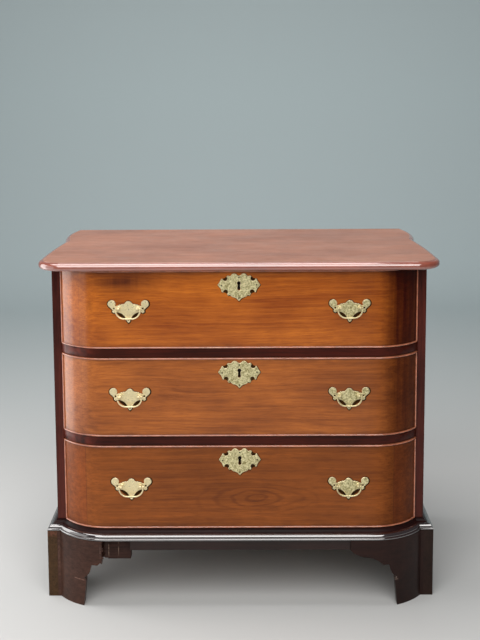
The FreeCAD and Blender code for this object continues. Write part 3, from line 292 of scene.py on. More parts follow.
def joined(grids, closed=True, capped=True):
    """Several grids as one list of places and one list of faces."""
    starts = np.cumsum([0] + [grid.shape[0] * grid.shape[1] for grid in grids]).tolist()
    faces = sum((skin(*grid.shape[:2], start, closed, capped) for grid, start in zip(grids, starts)), [])
    return np.concatenate([grid.reshape(-1, 3) for grid in grids]), faces


def placed(name, data):
    """A new object in the scene that holds a mesh, a lamp or a camera."""
    thing = bpy.data.objects.new(name, data)
    bpy.context.scene.collection.objects.link(thing)
    return thing


def build(name, points, faces, material, body, slot, nodes=(), crease=35.0, filled=None, **marks):
    """Makes a piece at the origin from whole arrays of places and faces, smooth except at edges sharper
    than the crease. Where filled gives a depth, open rims before and behind it are closed across. The
    piece rides on its body and takes the place of the nodes that it stands for."""
    mesh = bpy.data.meshes.new(name)
    mesh.from_pydata(np.asarray(points).reshape(-1, 3).tolist(), [], faces)
    for mark, amounts in marks.items():
        layer = mesh.attributes.new(mark, "FLOAT", "POINT")
        layer.data.foreach_set("value", np.asarray(amounts, dtype=np.float32).ravel())
    work = bmesh.new()
    work.from_mesh(mesh)
    bmesh.ops.remove_doubles(work, verts=work.verts, dist=0.000001)
    if filled is not None:
        rims = [edge for edge in work.edges if edge.is_boundary]
        for rim in ([edge for edge in rims if edge.verts[0].co.y < filled],
                    [edge for edge in rims if edge.verts[0].co.y >= filled]):
            bmesh.ops.triangle_fill(work, edges=rim, use_beauty=True)
    bmesh.ops.recalc_face_normals(work, faces=work.faces)
    work.to_mesh(mesh)
    work.free()
    mesh.shade_smooth()
    mesh.set_sharp_from_angle(angle=math.radians(crease))
    mesh.materials.append(material)
    piece = placed(name, mesh)
    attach(piece, body)
    if nodes:
        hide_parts(*nodes)
    return piece


def walls(first, second):
    """A quad between each pair of neighbours on two rings of four corners."""
    return [[first[here], first[after], second[after], second[here]]
            for here, after in ((0, 1), (1, 2), (2, 3), (3, 0))]


def sunk(points, faces, cell, depth):
    """Sinks a box into one face of a skin: the face goes, and walls and a floor take its place."""
    faces = [face for face in faces if sorted(face) != sorted(cell)]
    floor = list(range(len(points), len(points) + 4))
    faces += [*walls(cell, floor), floor]
    return np.concatenate([points, np.asarray(points)[cell] + depth]), faces


def ramp(value, start, end):
    """0 up to a start, 1 from an end, and straight between them."""
    return np.clip((value - start) / (end - start), 0, 1)


def make_rail(name, low, high):
    """A board whose front edge follows the front line and whose back is straight, slightly eased, with a
    mortise sunk into its underside. Its left end is polished deeper and painted paler, as a highlight."""
    turn = math.acos((corner_y - stile_y) / corner_radius)
    straight = np.concatenate([np.linspace(-flat_half, -mortise_half, 18),
                               np.linspace(mortise_half, flat_half, 18)])
    outer = front_line(0, turn, straight)
    back = -0.1585
    inner = np.stack([outer[:, 0], np.full(len(outer), back)], 1)
    deep = back - face_y
    ease = 0.0008
    across = np.array([0, 0, ease / deep, 0.5, 1, 1, (mortise_back - face_y) / deep,
                       (mortise_front - face_y) / deep, ease / deep])
    up = np.array([low + ease, high - ease, high, high, high, low, low, low, low])
    grid = carried(outer, inner, across, up)
    rows, columns = grid.shape[:2]
    before = (rows // 2 - 1) * columns
    back_point, front_point = 6, 7
    cell = [before + back_point, before + front_point, before + columns + front_point,
            before + columns + back_point]
    points, faces = sunk(grid.reshape(-1, 3), skin(rows, columns), cell, (0, 0, mortise_depth))
    # The left end is painted paler, as the highlight where the rail turns towards the light, and polished
    # deeper.
    left_end = ramp(-points[:, 0], 0.33, 0.38)
    build(name + "_board", points, faces, rail_wood, "case", "case_wood", [name],
          polish=0.12 + 0.2 * left_end, rub=0.9 * left_end)


rail_wood = wood("rail_mahogany", tint(76, 25, 13), tint(40, 11, 5), ALONG_X, coat="polish", under=0.1)
for rail, (rail_low, rail_high) in RAILS.items():
    make_rail(rail, rail_low, rail_high)


# Top. One wide mahogany board, sun-faded and waxed, with bowed sides and long ears behind. Its edge is
# moulded to a fat round under a raised field, and it is glued and blocked down on the case.
under_inset = 0.006


def bow(start, end, radius, side, count):
    """Points on the shorter arc of a radius between two points. Side 1 bends it to the left of the way
    from start to end, and side -1 to the right."""
    start, end = np.asarray(start, float), np.asarray(end, float)
    chord = end - start
    half = np.hypot(*chord) / 2
    away = np.array([-chord[1], chord[0]]) / (2 * half)
    centre = (start + end) / 2 - side * away * math.sqrt(max(radius ** 2 - half ** 2, 0))
    first = math.atan2(*(start - centre)[::-1])
    last = math.atan2(*(end - centre)[::-1])
    sweep = (last - first + math.pi) % (2 * math.pi) - math.pi
    angles = first + sweep * np.linspace(0, 1, count)
    return centre + radius * np.stack([np.cos(angles), np.sin(angles)], 1)


def turned_arc(centre, radius, first, last, count):
    """Points on an arc between two angles in degrees."""
    angles = np.radians(np.linspace(first, last, count))
    return np.asarray(centre) + radius * np.stack([np.cos(angles), np.sin(angles)], 1)


def top_line(inset):
    """The right half of the top's outline, drawn in by an inset: front corner, gently bowed side, hollow
    cusp, and a long round ear that runs to the back. Arcs share their angles, so insets keep step. Points
    of the corner lie level with the front and the back of the bolt's mortise, with none between them."""
    widest, shoulder, rear = 0.482, -0.2085, 0.2765
    corner_round, bowed, waist = 0.065, 2.7865, 0.0155
    cusp, ear_turn = 0.005, 15
    sweep = math.acos(1 - waist / bowed)
    turn = math.radians(ear_turn)
    before, behind = [-90 + math.degrees(math.acos((shoulder - y) / (corner_round - under_inset)))
                      for y in (mortise_front, mortise_back)]
    corner_centre = (widest - corner_round, shoulder)
    corner = np.concatenate([turned_arc(corner_centre, corner_round - inset, -90, before, 18),
                             turned_arc(corner_centre, corner_round - inset, behind, 0, 4)])
    side = turned_arc((widest - bowed, shoulder), bowed - inset, 0, math.degrees(sweep), 22)
    waist_x = widest - waist
    waist_y = shoulder + bowed * math.sin(sweep)
    hub = (waist_x + cusp * math.cos(sweep), waist_y + cusp * math.sin(sweep))
    hollow = turned_arc(hub, cusp + inset, 180 + math.degrees(sweep), 180 - ear_turn, 9)
    cusp_x = waist_x + cusp * (math.cos(sweep) - math.cos(turn))
    cusp_y = waist_y + cusp * (math.sin(turn) + math.sin(sweep))
    ear = (rear - cusp_y) / (2 * math.sin(turn))
    ear_centre = (cusp_x - ear * math.cos(turn), cusp_y + ear * math.sin(turn))
    lobe = turned_arc(ear_centre, ear - inset, -ear_turn, ear_turn - 1, 17)
    start = np.array([[mortise_half, shoulder - corner_round + inset]])
    edge = np.array([[lobe[-1, 0], rear]])
    return np.concatenate([start, corner, side[1:], hollow[1:], lobe[1:], edge])


def make_top():
    """The edge's section carried round both halves of the outline, then closed over the raised field,
    under the board and across its back by rows that run from the left half to the right."""
    low, high, field = 0.8304, 0.8484, 0.8494
    reach = 0.011
    right = top_line(0)
    right_in = top_line(reach)
    outer = np.concatenate([flipped(right), right])
    inner = np.concatenate([flipped(right_in), right_in])
    ease = bow((under_inset, low), (0.0, low + 0.0065), 0.0075, 1, 5)
    nose = bow((0.0, high - 0.0095), (0.009, high), 0.0092, 1, 10)
    step = bow((0.0105, high + 0.0002), (reach, field), 0.0012, 1, 4)
    section = np.concatenate([ease, nose, step])
    grid = carried(outer, inner, section[:, 0] / reach, section[:, 1])
    rows, columns = grid.shape[:2]
    points = grid.reshape(-1, 3)
    faces = skin(rows, columns, closed=False, capped=False)
    half = rows // 2
    row = np.arange(half)
    left_ends = (half - 1 - row) * columns
    right_ends = (half + row) * columns
    under = points[right_ends] * (0, 1, 1)
    first = len(points)
    lanes = np.stack([left_ends, first + row, first + half + row, right_ends], 1)
    cells = np.stack([lanes[:-1, :-1], lanes[:-1, 1:], lanes[1:, 1:], lanes[1:, :-1]], -1)
    hole = cells[int(np.argmin(np.abs(under[:, 1] - mortise_front))), 1].tolist()
    faces += cells.reshape(-1, 4).tolist()
    top_left = left_ends + columns - 1
    top_right = right_ends + columns - 1
    faces.append([*top_left[2::-1].tolist(), *top_right[:3].tolist()])
    faces += np.stack([top_left[2:-1], top_right[2:-1], top_right[3:], top_left[3:]], 1).tolist()
    level = np.arange(1, columns - 1)
    last = (rows - 1) * columns
    faces += np.stack([level, level + 1, last + level + 1, last + level], 1).tolist()
    faces.append([0, first + half - 1, first + 2 * half - 1, last, last + 1, 1])
    points = np.concatenate([points, under + (-mortise_half, 0, 0), under + (mortise_half, 0, 0)])
    points, faces = sunk(points, faces, hole, (0, 0, mortise_depth))
    step_inset, field_polish = 0.0106, 0.16
    polish = np.full(len(points), field_polish)
    polish[:rows * columns] = np.tile(np.where(section[:, 0] < step_inset, 1.0, field_polish), rows)
    # A thin dark line along the foot of the field's step.
    groove_inset, groove_wide = 0.0098, 0.0006
    dirt = np.zeros(len(points))
    dirt[:rows * columns] = np.tile(np.exp(-np.abs(section[:, 0] - groove_inset) / groove_wide) * 0.8, rows)
    build("top_plank", points, faces, top_wood, "case", "case_wood", ["top_board"], polish=polish,
          grime=dirt)


def unfaded(tree, place, colour):
    """Reddens a colour where the polish is deep, as on the nose, which the sun has bleached less."""
    nose = marked(tree, "polish")
    redder = blend(tree, 1.0, colour, (0.8, 0.46, 0.42, 1.0), "MULTIPLY")
    return blend(tree, span(tree, nose, 0.3, 0.9), colour, redder)


top_wood = wood("top_mahogany", tint(184, 124, 98), tint(138, 86, 66), ALONG_X, bands=0.35, clouds=0.45,
                coat="polish", relief=0.08, under=0.6, mirror=0.1, shine=2.2, after=unfaded)
make_top()


# Base moulding. A run of mahogany with a bead, a fat torus and a cove, worked along the rounded front,
# mitred round the stiles and returned along the sides, glued to the case above the feet.
case_half = 0.455
back_y = 0.2615
base_z = 0.168
base_reach = 0.023
cove_start = 0.0138
moulding_high = 0.024


def moulding_section():
    """The moulding's section as shares across from its outermost line to the wall, and heights."""
    bead = bow((0.0205, 0.0), (0.0205, 0.006), 0.00305, -1, 9)
    torus = bow((0.019, 0.0066), (0.0108, cove_start), 0.0078, -1, 9)
    cove = bow((0.0108, cove_start), (0.0025, moulding_high), 0.0115, 1, 7)
    section = np.concatenate([[(0.0, 0.0)], bead, [(0.019, 0.006)], torus, cove[1:],
                              [(0.0, moulding_high)]])
    return 1 - section[:, 0] / base_reach, base_z + section[:, 1]


def make_base_moulding():
    """The section carried along the front and across each stile in one run, and mitred there to a return
    along each side. Dusters shine the torus and the bead, and miss the cove above them."""
    across, up = moulding_section()
    straight = np.linspace(-flat_half, flat_half, 9)
    end_in = math.acos((corner_y - stile_y) / corner_radius)
    end_out = math.acos((corner_y - stile_y + base_reach) / (corner_radius + base_reach))
    side_out = np.array([[case_half + base_reach, stile_y - base_reach], [case_half + base_reach, back_y]])
    side_in = np.array([[case_half, stile_y], [case_half, back_y]])
    front_out = front_line(base_reach, end_out, straight)
    front_out = np.concatenate([flipped(side_out[:1]), front_out, side_out[:1]])
    front_in = front_line(0, end_in, straight)
    front_in = np.concatenate([flipped(side_in[:1]), front_in, side_in[:1]])
    front = carried(front_out, front_in, across, up)
    torus_middle, torus_half = 0.012, 0.004
    # A pale band painted along the upper torus, as a soft highlight.
    rub = np.exp(-((up - base_z - torus_middle) / torus_half) ** 2) * 0.2
    polish = np.where(up - base_z > cove_start + 0.0001, 0.0, 1.0)
    build("base_moulding_run", front, skin(*front.shape[:2]), moulding_wood, "case", "case_wood",
          ["base_moulding_front"], rub=np.tile(rub, len(front)), polish=np.tile(polish, len(front)))
    for name, sign in (("left", -1), ("right", 1)):
        run = carried(side_out * (sign, 1), side_in * (sign, 1), across, up)
        build(f"base_moulding_return_{name}", run, skin(*run.shape[:2]), return_wood, "case", "case_wood",
              [f"base_moulding_{name}"], rub=np.tile(rub, 2), polish=np.tile(polish, 2))


moulding_wood, return_wood = [
    wood(name, tint(44, 18, 16), tint(22, 9, 8), turn, coat="polish", under=0.1, mirror=0.08, shine=2.9)
    for name, turn in (("moulding_mahogany", ALONG_X), ("moulding_return", ALONG_Y))]
make_base_moulding()


# Bracket feet. The front feet are boards shaped to the rounded corners, with scrolled wings. The left
# one's wing is broken off short. Side feet are flat boards, and blocks are glued in the corners.
foot_out = 0.0225
foot_thick = 0.024
foot_edge = 0.3825
foot_high = 0.168
strip_start = 0.4466
strip_end = 0.454


def foot_face(x, offset, limit):
    """How far forward the foot's face lies at a place across: the flat, then the rounded corner, and no
    further back than a limit."""
    beyond = np.maximum(np.abs(x) - flat_half, 0)
    radius = corner_radius + offset
    return np.minimum(corner_y - np.sqrt(np.maximum(radius ** 2 - beyond ** 2, 0)), limit)


def scroll_line():
    """The sawn lower edge from the floor at the foot's inner edge up and along to the wing's tip, as the
    distance from that edge and the height: ankle, cusp, hollow, fillet and ogee."""
    return np.concatenate([
        np.stack([np.linspace(0, 0.006, 8), np.linspace(0, 0.062, 8)], 1),
        bow((0.006, 0.062), (0.001, 0.073), 0.012, -1, 5)[1:],
        bow((0.001, 0.073), (0.0185, 0.0995), 0.030, -1, 10)[1:],
        np.array([[0.021, 0.1065], [0.028, 0.1067], [0.0355, 0.1065]]),
        bow((0.0355, 0.1065), (0.074, 0.126), 0.060, 1, 10)[1:],
        bow((0.074, 0.126), (0.115, 0.1435), 0.060, -1, 10)[1:],
    ])


def make_front_foot(name, sign, broken, material):
    """A board between the sawn edge and the foot's outer and upper edges, ruled from one to the other and
    bent to the corner, in front and behind, with a narrow strip beside it."""
    edge = scroll_line()
    break_at, break_end, wing_low = 0.047, (0.0465, 0.1105), 0.105
    if broken:
        edge = np.concatenate([edge[edge[:, 0] <= break_at], [break_end]])
    count = len(edge)
    x_low = foot_edge - edge[:, 0]
    z_low = edge[:, 1]
    turn = int(np.argmax(z_low > wing_low))
    rise = np.linspace(0, 1, turn + 1)
    along = (edge[turn:, 0] - edge[turn, 0]) / (edge[-1, 0] - edge[turn, 0])
    x_high = np.concatenate([np.full(turn, strip_start), strip_start + (x_low[-1] - strip_start) * along])
    z_high = np.concatenate([rise[:turn] * foot_high, np.full(count - turn, foot_high)])
    share = np.linspace(0, 1, 21)[None, :]
    x = x_low[:, None] * (1 - share) + x_high[:, None] * share
    z = z_low[:, None] * (1 - share) + z_high[:, None] * share
    if broken:
        x[-1:] += 0.004 * np.sin(share * 17) + 0.0025 * np.sin(share * 41)
    front = foot_face(x, foot_out, stile_y - foot_out)
    behind = foot_face(x, foot_out - foot_thick, stile_y)
    board = np.concatenate([np.stack([x, front, z], 2), np.stack([x, behind, z], 2)[:, ::-1]], 1)
    plan = np.array([(strip_start, stile_y - foot_out), (strip_end, stile_y - foot_out),
                     (strip_end, stile_y), (strip_start, stile_y)])
    strip = np.stack([np.column_stack([plan, np.full(4, level)]) for level in (0.0, foot_high)])
    points, faces = joined([board, strip])
    points = points * (sign, 1, 1)
    low_edge = np.exp(-points[:, 2] / 0.012)
    build(f"front_bracket_{name}", points, faces, material, "case", "case_wood", [f"front_foot_{name}"],
          rub=low_edge * 0.3, grime=np.clip(1 - points[:, 2] / 0.05, 0, 1) * 0.4)


def make_broken_core():
    """The torn stub of the left wing: a splintered lower edge, ruled straight up to the moulding."""
    front, back = -0.250, -0.228
    splinters = np.array([(-0.3475, 0.1165), (-0.342, 0.115), (-0.336, 0.1178), (-0.331, 0.1152),
                          (-0.3237, 0.1148)])
    x = splinters[:, :1] + np.zeros(4)
    y = np.array([front, back, back, front]) + 0 * x
    z = np.column_stack([splinters[:, 1], splinters[:, 1], np.full((len(splinters), 2), foot_high)])
    build("broken_wing_core", np.stack([x, y, z], 2), skin(*x.shape), left_foot_wood, "case", "case_wood")


def streak(tree, place, middle, half, lean):
    """A small mark on a front: 1 inside a soft box about a middle place across and up, 0 outside."""
    parts = add(tree, "ShaderNodeSeparateXYZ", {0: place}).outputs
    x = reckon(tree, "SUBTRACT", parts["X"], middle[0])
    z = reckon(tree, "SUBTRACT", parts["Z"], middle[1])
    z = reckon(tree, "ADD", z, reckon(tree, "MULTIPLY", x, lean))
    wide = span(tree, reckon(tree, "ABSOLUTE", x, 0.0), half[0], half[0] * 0.7)
    high = span(tree, reckon(tree, "ABSOLUTE", z, 0.0), half[1], half[1] * 0.4)
    return reckon(tree, "MULTIPLY", wide, high)


def scratched(marks, colour_of_mark):
    """Gives a function that lays pale scratches over a colour, broken up by a fine cloud."""
    def lay(tree, place, colour):
        broken = span(tree, cloud(tree, place, (220.0, 220.0, 220.0), 2.0), 0.35, 0.55)
        for middle, half, lean, strength in marks:
            mask = reckon(tree, "MULTIPLY", streak(tree, place, middle, half, lean), strength)
            colour = blend(tree, reckon(tree, "MULTIPLY", mask, broken), colour, colour_of_mark)
        return colour
    return lay


def bare_end(tree, place, colour):
    """The paler bare wood of the left side foot's front end, with a patch of old polish at its top."""
    depth = add(tree, "ShaderNodeSeparateXYZ", {0: place}).outputs["Y"]
    paler = blend(tree, 1.0, colour, (1.95, 2.3, 1.35, 1.0), "MULTIPLY")
    patch = [((-0.466, 0.162), (0.016, 0.009), 0.0, 0.9)]
    paler = scratched(patch, tint(104, 62, 48))(tree, place, paler)
    polished_y, bare_y = -0.2135, -0.2150
    return blend(tree, span(tree, depth, polished_y, bare_y), colour, paler)


left_marks = [((-0.393, 0.066), (0.016, 0.0013), 0.05, 0.8), ((-0.450, 0.105), (0.0028, 0.066), 0.0, 0.2),
              ((-0.3405, 0.1075), (0.006, 0.0013), 0.0, 0.8), ((-0.3395, 0.140), (0.0012, 0.02), 0.1, 0.5)]
right_marks = [((0.377, 0.066), (0.009, 0.0012), -0.03, 0.7), ((0.3795, 0.071), (0.0025, 0.003), 0.0, 0.6),
               ((0.36, 0.101), (0.004, 0.0012), 0.8, 0.5)]
# The right front foot is set much darker than the left, and the right side feet a little darker: partly the
# woods' own tone, partly painted shade on the side turned from the light.
left_foot_wood = wood("left_foot_mahogany", tint(82, 54, 43), tint(52, 32, 25), ALONG_X, coat=0.2,
                      under=0.1, after=scratched(left_marks, tint(140, 106, 92)))
right_foot_wood = wood("right_foot_mahogany", tint(46, 25, 20), tint(28, 14, 11), ALONG_X, coat=0.2,
                       under=0.1, after=scratched(right_marks, tint(150, 128, 116)))
make_front_foot("right", 1, False, right_foot_wood)
make_front_foot("left", -1, True, left_foot_wood)
make_broken_core()
left_side_foot_wood = wood("left_side_foot_mahogany", tint(58, 36, 28), tint(34, 20, 16), ALONG_Y,
                           coat=0.15, under=0.1, after=bare_end)
dress(["side_foot_front_left", "side_foot_rear_left"], left_side_foot_wood, ease=0.0007)
right_side_foot_wood = wood("right_side_foot_mahogany", tint(50, 33, 27), tint(30, 19, 15), ALONG_Y,
                            coat=0.15, under=0.1)
dress(["side_foot_front_right", "side_foot_rear_right"], right_side_foot_wood, ease=0.0007)
apron_wood = wood("apron_mahogany", tint(48, 28, 24), tint(30, 17, 14), ALONG_X, coat=0.3)
dress(["apron"], apron_wood, ease=0.0005)
block_marks = [((-0.3215, 0.14), (0.0007, 0.026), 0.1, 0.8), ((-0.2975, 0.143), (0.0006, 0.024), 0.05, 0.6),
               ((-0.272, 0.163), (0.004, 0.0012), 0.0, 0.7)]
block_wood = wood("block_softwood", tint(72, 46, 38), tint(44, 27, 22), ALONG_X, bands=0.6, relief=0.6,
                  dull=0.3, after=scratched(block_marks, tint(168, 140, 120)))
dress(["rear_brackets", "foot_blocks"], block_wood, ease=0.0005)


# Drawer fronts. Thick mahogany, bent from the solid at the ends, with the best figure of the chest and
# a deep polish. Each is rebated for its cockbeads and cut through for the key.
front_half = 0.4335
front_thick = 0.024
bead_wide = 0.004
bead_deep = 0.008
key_half = 0.0045
key_drop = 0.038
DRAWERS = {"upper": (0.6402, 0.8292), "middle": (0.4235, 0.6170), "lower": (0.1930, 0.4003)}
# How strongly each front's right end is darkened: partly darker wood, partly painted shade on the end
# turned from the light.
dark_ends = {"upper": 0.95, "middle": 0.85, "lower": 0.52}


def flamed(tree, place, colour, middle):
    """Draws an oval figure in the wood: ragged dark rings about a middle place, that fade outward."""
    half_wide, half_high, ring_rate = 0.12, 0.034, 19.0
    flat = (1 / half_wide, 0.0, 1 / half_high)
    moved = add(tree, "ShaderNodeVectorMath", {0: place, 1: middle}, operation="SUBTRACT").outputs[0]
    oval = add(tree, "ShaderNodeVectorMath", {0: moved, 1: flat}, operation="MULTIPLY").outputs[0]
    length = add(tree, "ShaderNodeVectorMath", {0: oval}, operation="LENGTH").outputs["Value"]
    ragged = reckon(tree, "ADD", length, cloud(tree, place, (7.0, 7.0, 22.0), 2.0))
    rings = reckon(tree, "SINE", reckon(tree, "MULTIPLY", ragged, ring_rate), 0.0)
    fade = reckon(tree, "MULTIPLY", span(tree, length, 1.6, 0.6), 0.42)
    drawn = reckon(tree, "MULTIPLY", span(tree, rings, 0.2, 1.0), fade)
    return blend(tree, drawn, colour, blend(tree, 1.0, colour, (0.4, 0.3, 0.2, 1.0), "MULTIPLY"))


def end_pieces(seam_x, strength, flame=None):
    """Gives a function that draws the upright joint near each end of a front and turns the wood beyond it
    a little redder, as where end pieces were let on. Flame gives the middle of an oval figure, if any."""
    def lay(tree, place, colour):
        across = add(tree, "ShaderNodeSeparateXYZ", {0: place}).outputs["X"]
        if flame:
            colour = flamed(tree, place, colour, flame)
        far = reckon(tree, "ABSOLUTE", across, 0.0)
        beyond = reckon(tree, "MULTIPLY", span(tree, far, seam_x - 0.0004, seam_x + 0.0004), strength)
        redder = blend(tree, 1.0, colour, (0.98, 0.86, 0.95, 1.0), "MULTIPLY")
        colour = blend(tree, beyond, colour, redder)
        near = reckon(tree, "ABSOLUTE", reckon(tree, "SUBTRACT", far, seam_x), 0.0)
        line = reckon(tree, "MULTIPLY", span(tree, near, 0.0011, 0.0003), strength * 0.55)
        return blend(tree, line, colour, tint(52, 22, 12))
    return lay


def blot(x, z, middle, half):
    """A soft oval spot on a front: 1 in its middle, falling off as a bell does over its half sizes."""
    return np.exp(-((x - middle[0]) / half[0]) ** 2 - ((z - middle[1]) / half[1]) ** 2)


def darkened(name, x, z, high):
    """How far a front is darkened: towards its right end, partly darker wood and partly painted shade on
    the end turned from the light; on the upper front also by two old staining blots on the left, and by a
    painted shadow of the top in the strip under it."""
    # Right end: partly darker wood, partly painted shade.
    dark = dark_ends[name] * (0.3 * ramp(x, 0.20, 0.35) + 0.7 * ramp(x, 0.335, 0.381))
    if name == "upper":
        dark = dark + 0.85 * blot(x, z, (-0.278, high - 0.031), (0.075, 0.019))
        dark = dark + 0.3 * blot(x, z, (-0.356, high - 0.085), (0.007, 0.010))
        # Painted shadow of the overhanging top along the front's upper edge.
        dark = dark + 0.35 * np.exp(-(high - z) / 0.016)
    return np.clip(dark, 0, 1)


def polished(name, x):
    """How deep a front's polish is: level along the middle, deeper round the left end of the upper two,
    and almost gone round the right end."""
    middle, left_gain, right = (0.35, 0.0, 0.06) if name == "lower" else (0.7, 0.3, 0.06)
    return middle + left_gain * ramp(-x, 0.33, 0.37) - (middle - right) * ramp(x, 0.30, 0.37)


def make_drawer_front(name, low, high):
    """The board's section, with a rebate above and below, carried along the front line and on round the
    square ends that the sides are dovetailed to. One cell is open from front to back for the key."""
    key_z = high - key_drop
    straight = np.linspace(key_half, flat_half, 24)
    straight = np.concatenate([-straight[::-1], straight])
    end_turn = math.asin((front_half - bead_wide - flat_half) / corner_radius)
    outer = front_line(0, end_turn, straight)
    inner_turn = math.acos((corner_y - stile_y) / (corner_radius - front_thick))
    inner = front_line(-front_thick, inner_turn, straight)
    rear, joint, flush = -0.190, -0.1795, 0.43195
    block_out = np.array([[front_half - bead_wide, rear], [flush, rear], [flush, joint]])
    block_in = np.array([[inner[-1, 0], -0.188], [inner[-1, 0], -0.184], [inner[-1, 0], joint]])
    outer = np.concatenate([flipped(block_out), outer, block_out])
    inner = np.concatenate([flipped(block_in), inner, block_in])
    below, above = key_z - 0.011, key_z + 0.0113
    low_rows, high_rows = 18, 5
    face_rows = low_rows + high_rows
    rise = np.concatenate([np.linspace(low + bead_wide, below, low_rows),
                           np.linspace(above, high - bead_wide, high_rows)])
    rebate = bead_deep / front_thick
    across = np.concatenate([np.zeros(face_rows), [rebate, rebate, 1, 1, 1, 1, rebate, rebate]])
    up = np.concatenate([rise, [high - bead_wide, high, high, above, below, low, low, low + bead_wide]])
    grid = carried(outer, inner, across, up)
    rows, columns = grid.shape[:2]
    left = (rows // 2 - 1) * columns
    right = left + columns
    front_low, front_high = low_rows - 1, low_rows
    back_low, back_high = face_rows + 4, face_rows + 3
    before = [left + front_low, right + front_low, right + front_high, left + front_high]
    behind = [left + back_low, right + back_low, right + back_high, left + back_high]
    faces = [face for face in skin(rows, columns) if sorted(face) not in (sorted(before), sorted(behind))]
    faces += walls(before, behind)
    x, z = grid[:, :, 0], grid[:, :, 2]
    # Darker within a few millimetres of the beads along the top and bottom of the face; the walls of the
    # key's cut are painted dark as shade.
    border = np.clip(np.minimum(z - low - bead_wide, high - bead_wide - z), 0, None)
    soiled = np.where(across == 0, np.exp(-border / 0.005), 0) * 0.45
    soiled.reshape(-1)[before + behind] = 1.0
    build(f"{name}_front_board", grid, faces, front_woods[name], f"{name}_drawer", "front_wood",
          [f"{name}_drawer_front"], grime=soiled, stain=darkened(name, x, z, high),
          polish=polished(name, x))


front_woods = {
    "upper": wood("upper_front_mahogany", tint(196, 108, 28), tint(136, 62, 8), ALONG_X, clouds=0.45,
                  coat="polish", shift=(0.31, 0.0, 0.0), under=0.1, after=end_pieces(0.383, 0.3)),
    "middle": wood("middle_front_mahogany", tint(186, 104, 36), tint(130, 65, 14), ALONG_X, clouds=0.45,
                   coat="polish", shift=(1.73, 0.2, 0.1), under=0.1, after=end_pieces(0.38, 0.25)),
    "lower": wood("lower_front_mahogany", tint(154, 82, 26), tint(108, 53, 10), ALONG_X, clouds=0.4,
                  coat="polish", shift=(3.37, 0.4, 0.3), under=0.1,
                  after=end_pieces(0.374, 0.8, (0.035, 0.0, 0.268))),
}
for drawer, (drawer_low, drawer_high) in DRAWERS.items():
    make_drawer_front(drawer, drawer_low, drawer_high)


# Cockbeads. Thin mahogany strips with a rounded nose, glued into rebates round each front so that they
# stand proud of it and take the knocks. Their noses are painted paler, as a highlight along them.
def make_cockbead(name, low, high):
    """A round-nosed section carried along the front at the top and bottom, and an upright one at each
    end between them."""
    proud = 0.003
    wide = proud + bead_deep
    straight = np.linspace(-flat_half, flat_half, 41)
    turns = [math.asin((front_half - flat_half) / (corner_radius + offset))
             for offset in (proud, -bead_deep)]
    outer = front_line(proud, turns[0], straight)
    inner = front_line(-bead_deep, turns[1], straight)
    nose = turned_arc((0, 0), 1, -90, 90, 9)
    across = np.concatenate([[1], (1 - nose[:, 0]) * bead_wide / 2 / wide, [1]])
    rise = np.concatenate([[-1], nose[:, 1], [1]]) * bead_wide / 2 + bead_wide / 2
    proudness = np.concatenate([[0], nose[:, 0] ** 2, [0]])
    runs = [carried(outer, inner, across, base + rise) for base in (low, high - bead_wide)]
    tip, rear = stile_y - 0.009, -0.190
    middle = front_half - bead_wide / 2
    rounded = np.stack([nose[:, 1], 1 - nose[:, 0]], 1)[::-1] * bead_wide / 2 + (0, tip)
    plan = np.concatenate([[(bead_wide / 2, rear)], rounded, [(-bead_wide / 2, rear)]])
    for sign in (-1, 1):
        ring = np.column_stack([sign * (middle + plan[:, 0]), plan[:, 1]])
        runs.append(np.stack([np.column_stack([ring, np.full(len(ring), level)])
                              for level in (low + bead_wide, high - bead_wide)]))
    points, faces = joined(runs)
    # Each bead's nose is painted paler, as a highlight along its rounded front.
    rub = np.concatenate([np.tile(proudness, len(outer) * 2), np.tile(proudness[::-1], 4)]) * 0.7
    build(f"{name}_bead_strips", points, faces, bead_wood, f"{name}_drawer", "bead_wood",
          [f"{name}_cockbead"], crease=50.0, rub=rub)


chips = [((-0.048, 0.6424), (0.047, 0.0016), 0.0, 0.75), ((0.06, 0.6422), (0.02, 0.0012), 0.0, 0.5)]
bead_wood = wood("bead_mahogany", tint(172, 104, 74), tint(112, 60, 40), ALONG_X, bands=0.4, clouds=0.4,
                 coat=1.0, mirror=0.12, shine=1.9, after=scratched(chips, tint(206, 160, 128)))
for drawer, (drawer_low, drawer_high) in DRAWERS.items():
    make_cockbead(drawer, drawer_low, drawer_high)


# Drawer boxes. Thin oak sides dovetailed to the front and back, and a bottom slid into grooves. The
# inside is bare, dry and a little dusty.
lining_wood = wood("lining_oak", tint(190, 152, 106), tint(146, 108, 68), ALONG_Y, clouds=0.35,
                   relief=0.5, dull=0.3)
cross_lining = wood("lining_oak_cross", tint(186, 148, 102), tint(142, 104, 66), ALONG_X, clouds=0.35,
                    relief=0.5, dull=0.3)
for drawer in DRAWERS:
    dress([f"{drawer}_drawer_side_left", f"{drawer}_drawer_side_right"], lining_wood, ease=0.0006)
    dress([f"{drawer}_drawer_back", f"{drawer}_drawer_bottom"], cross_lining)


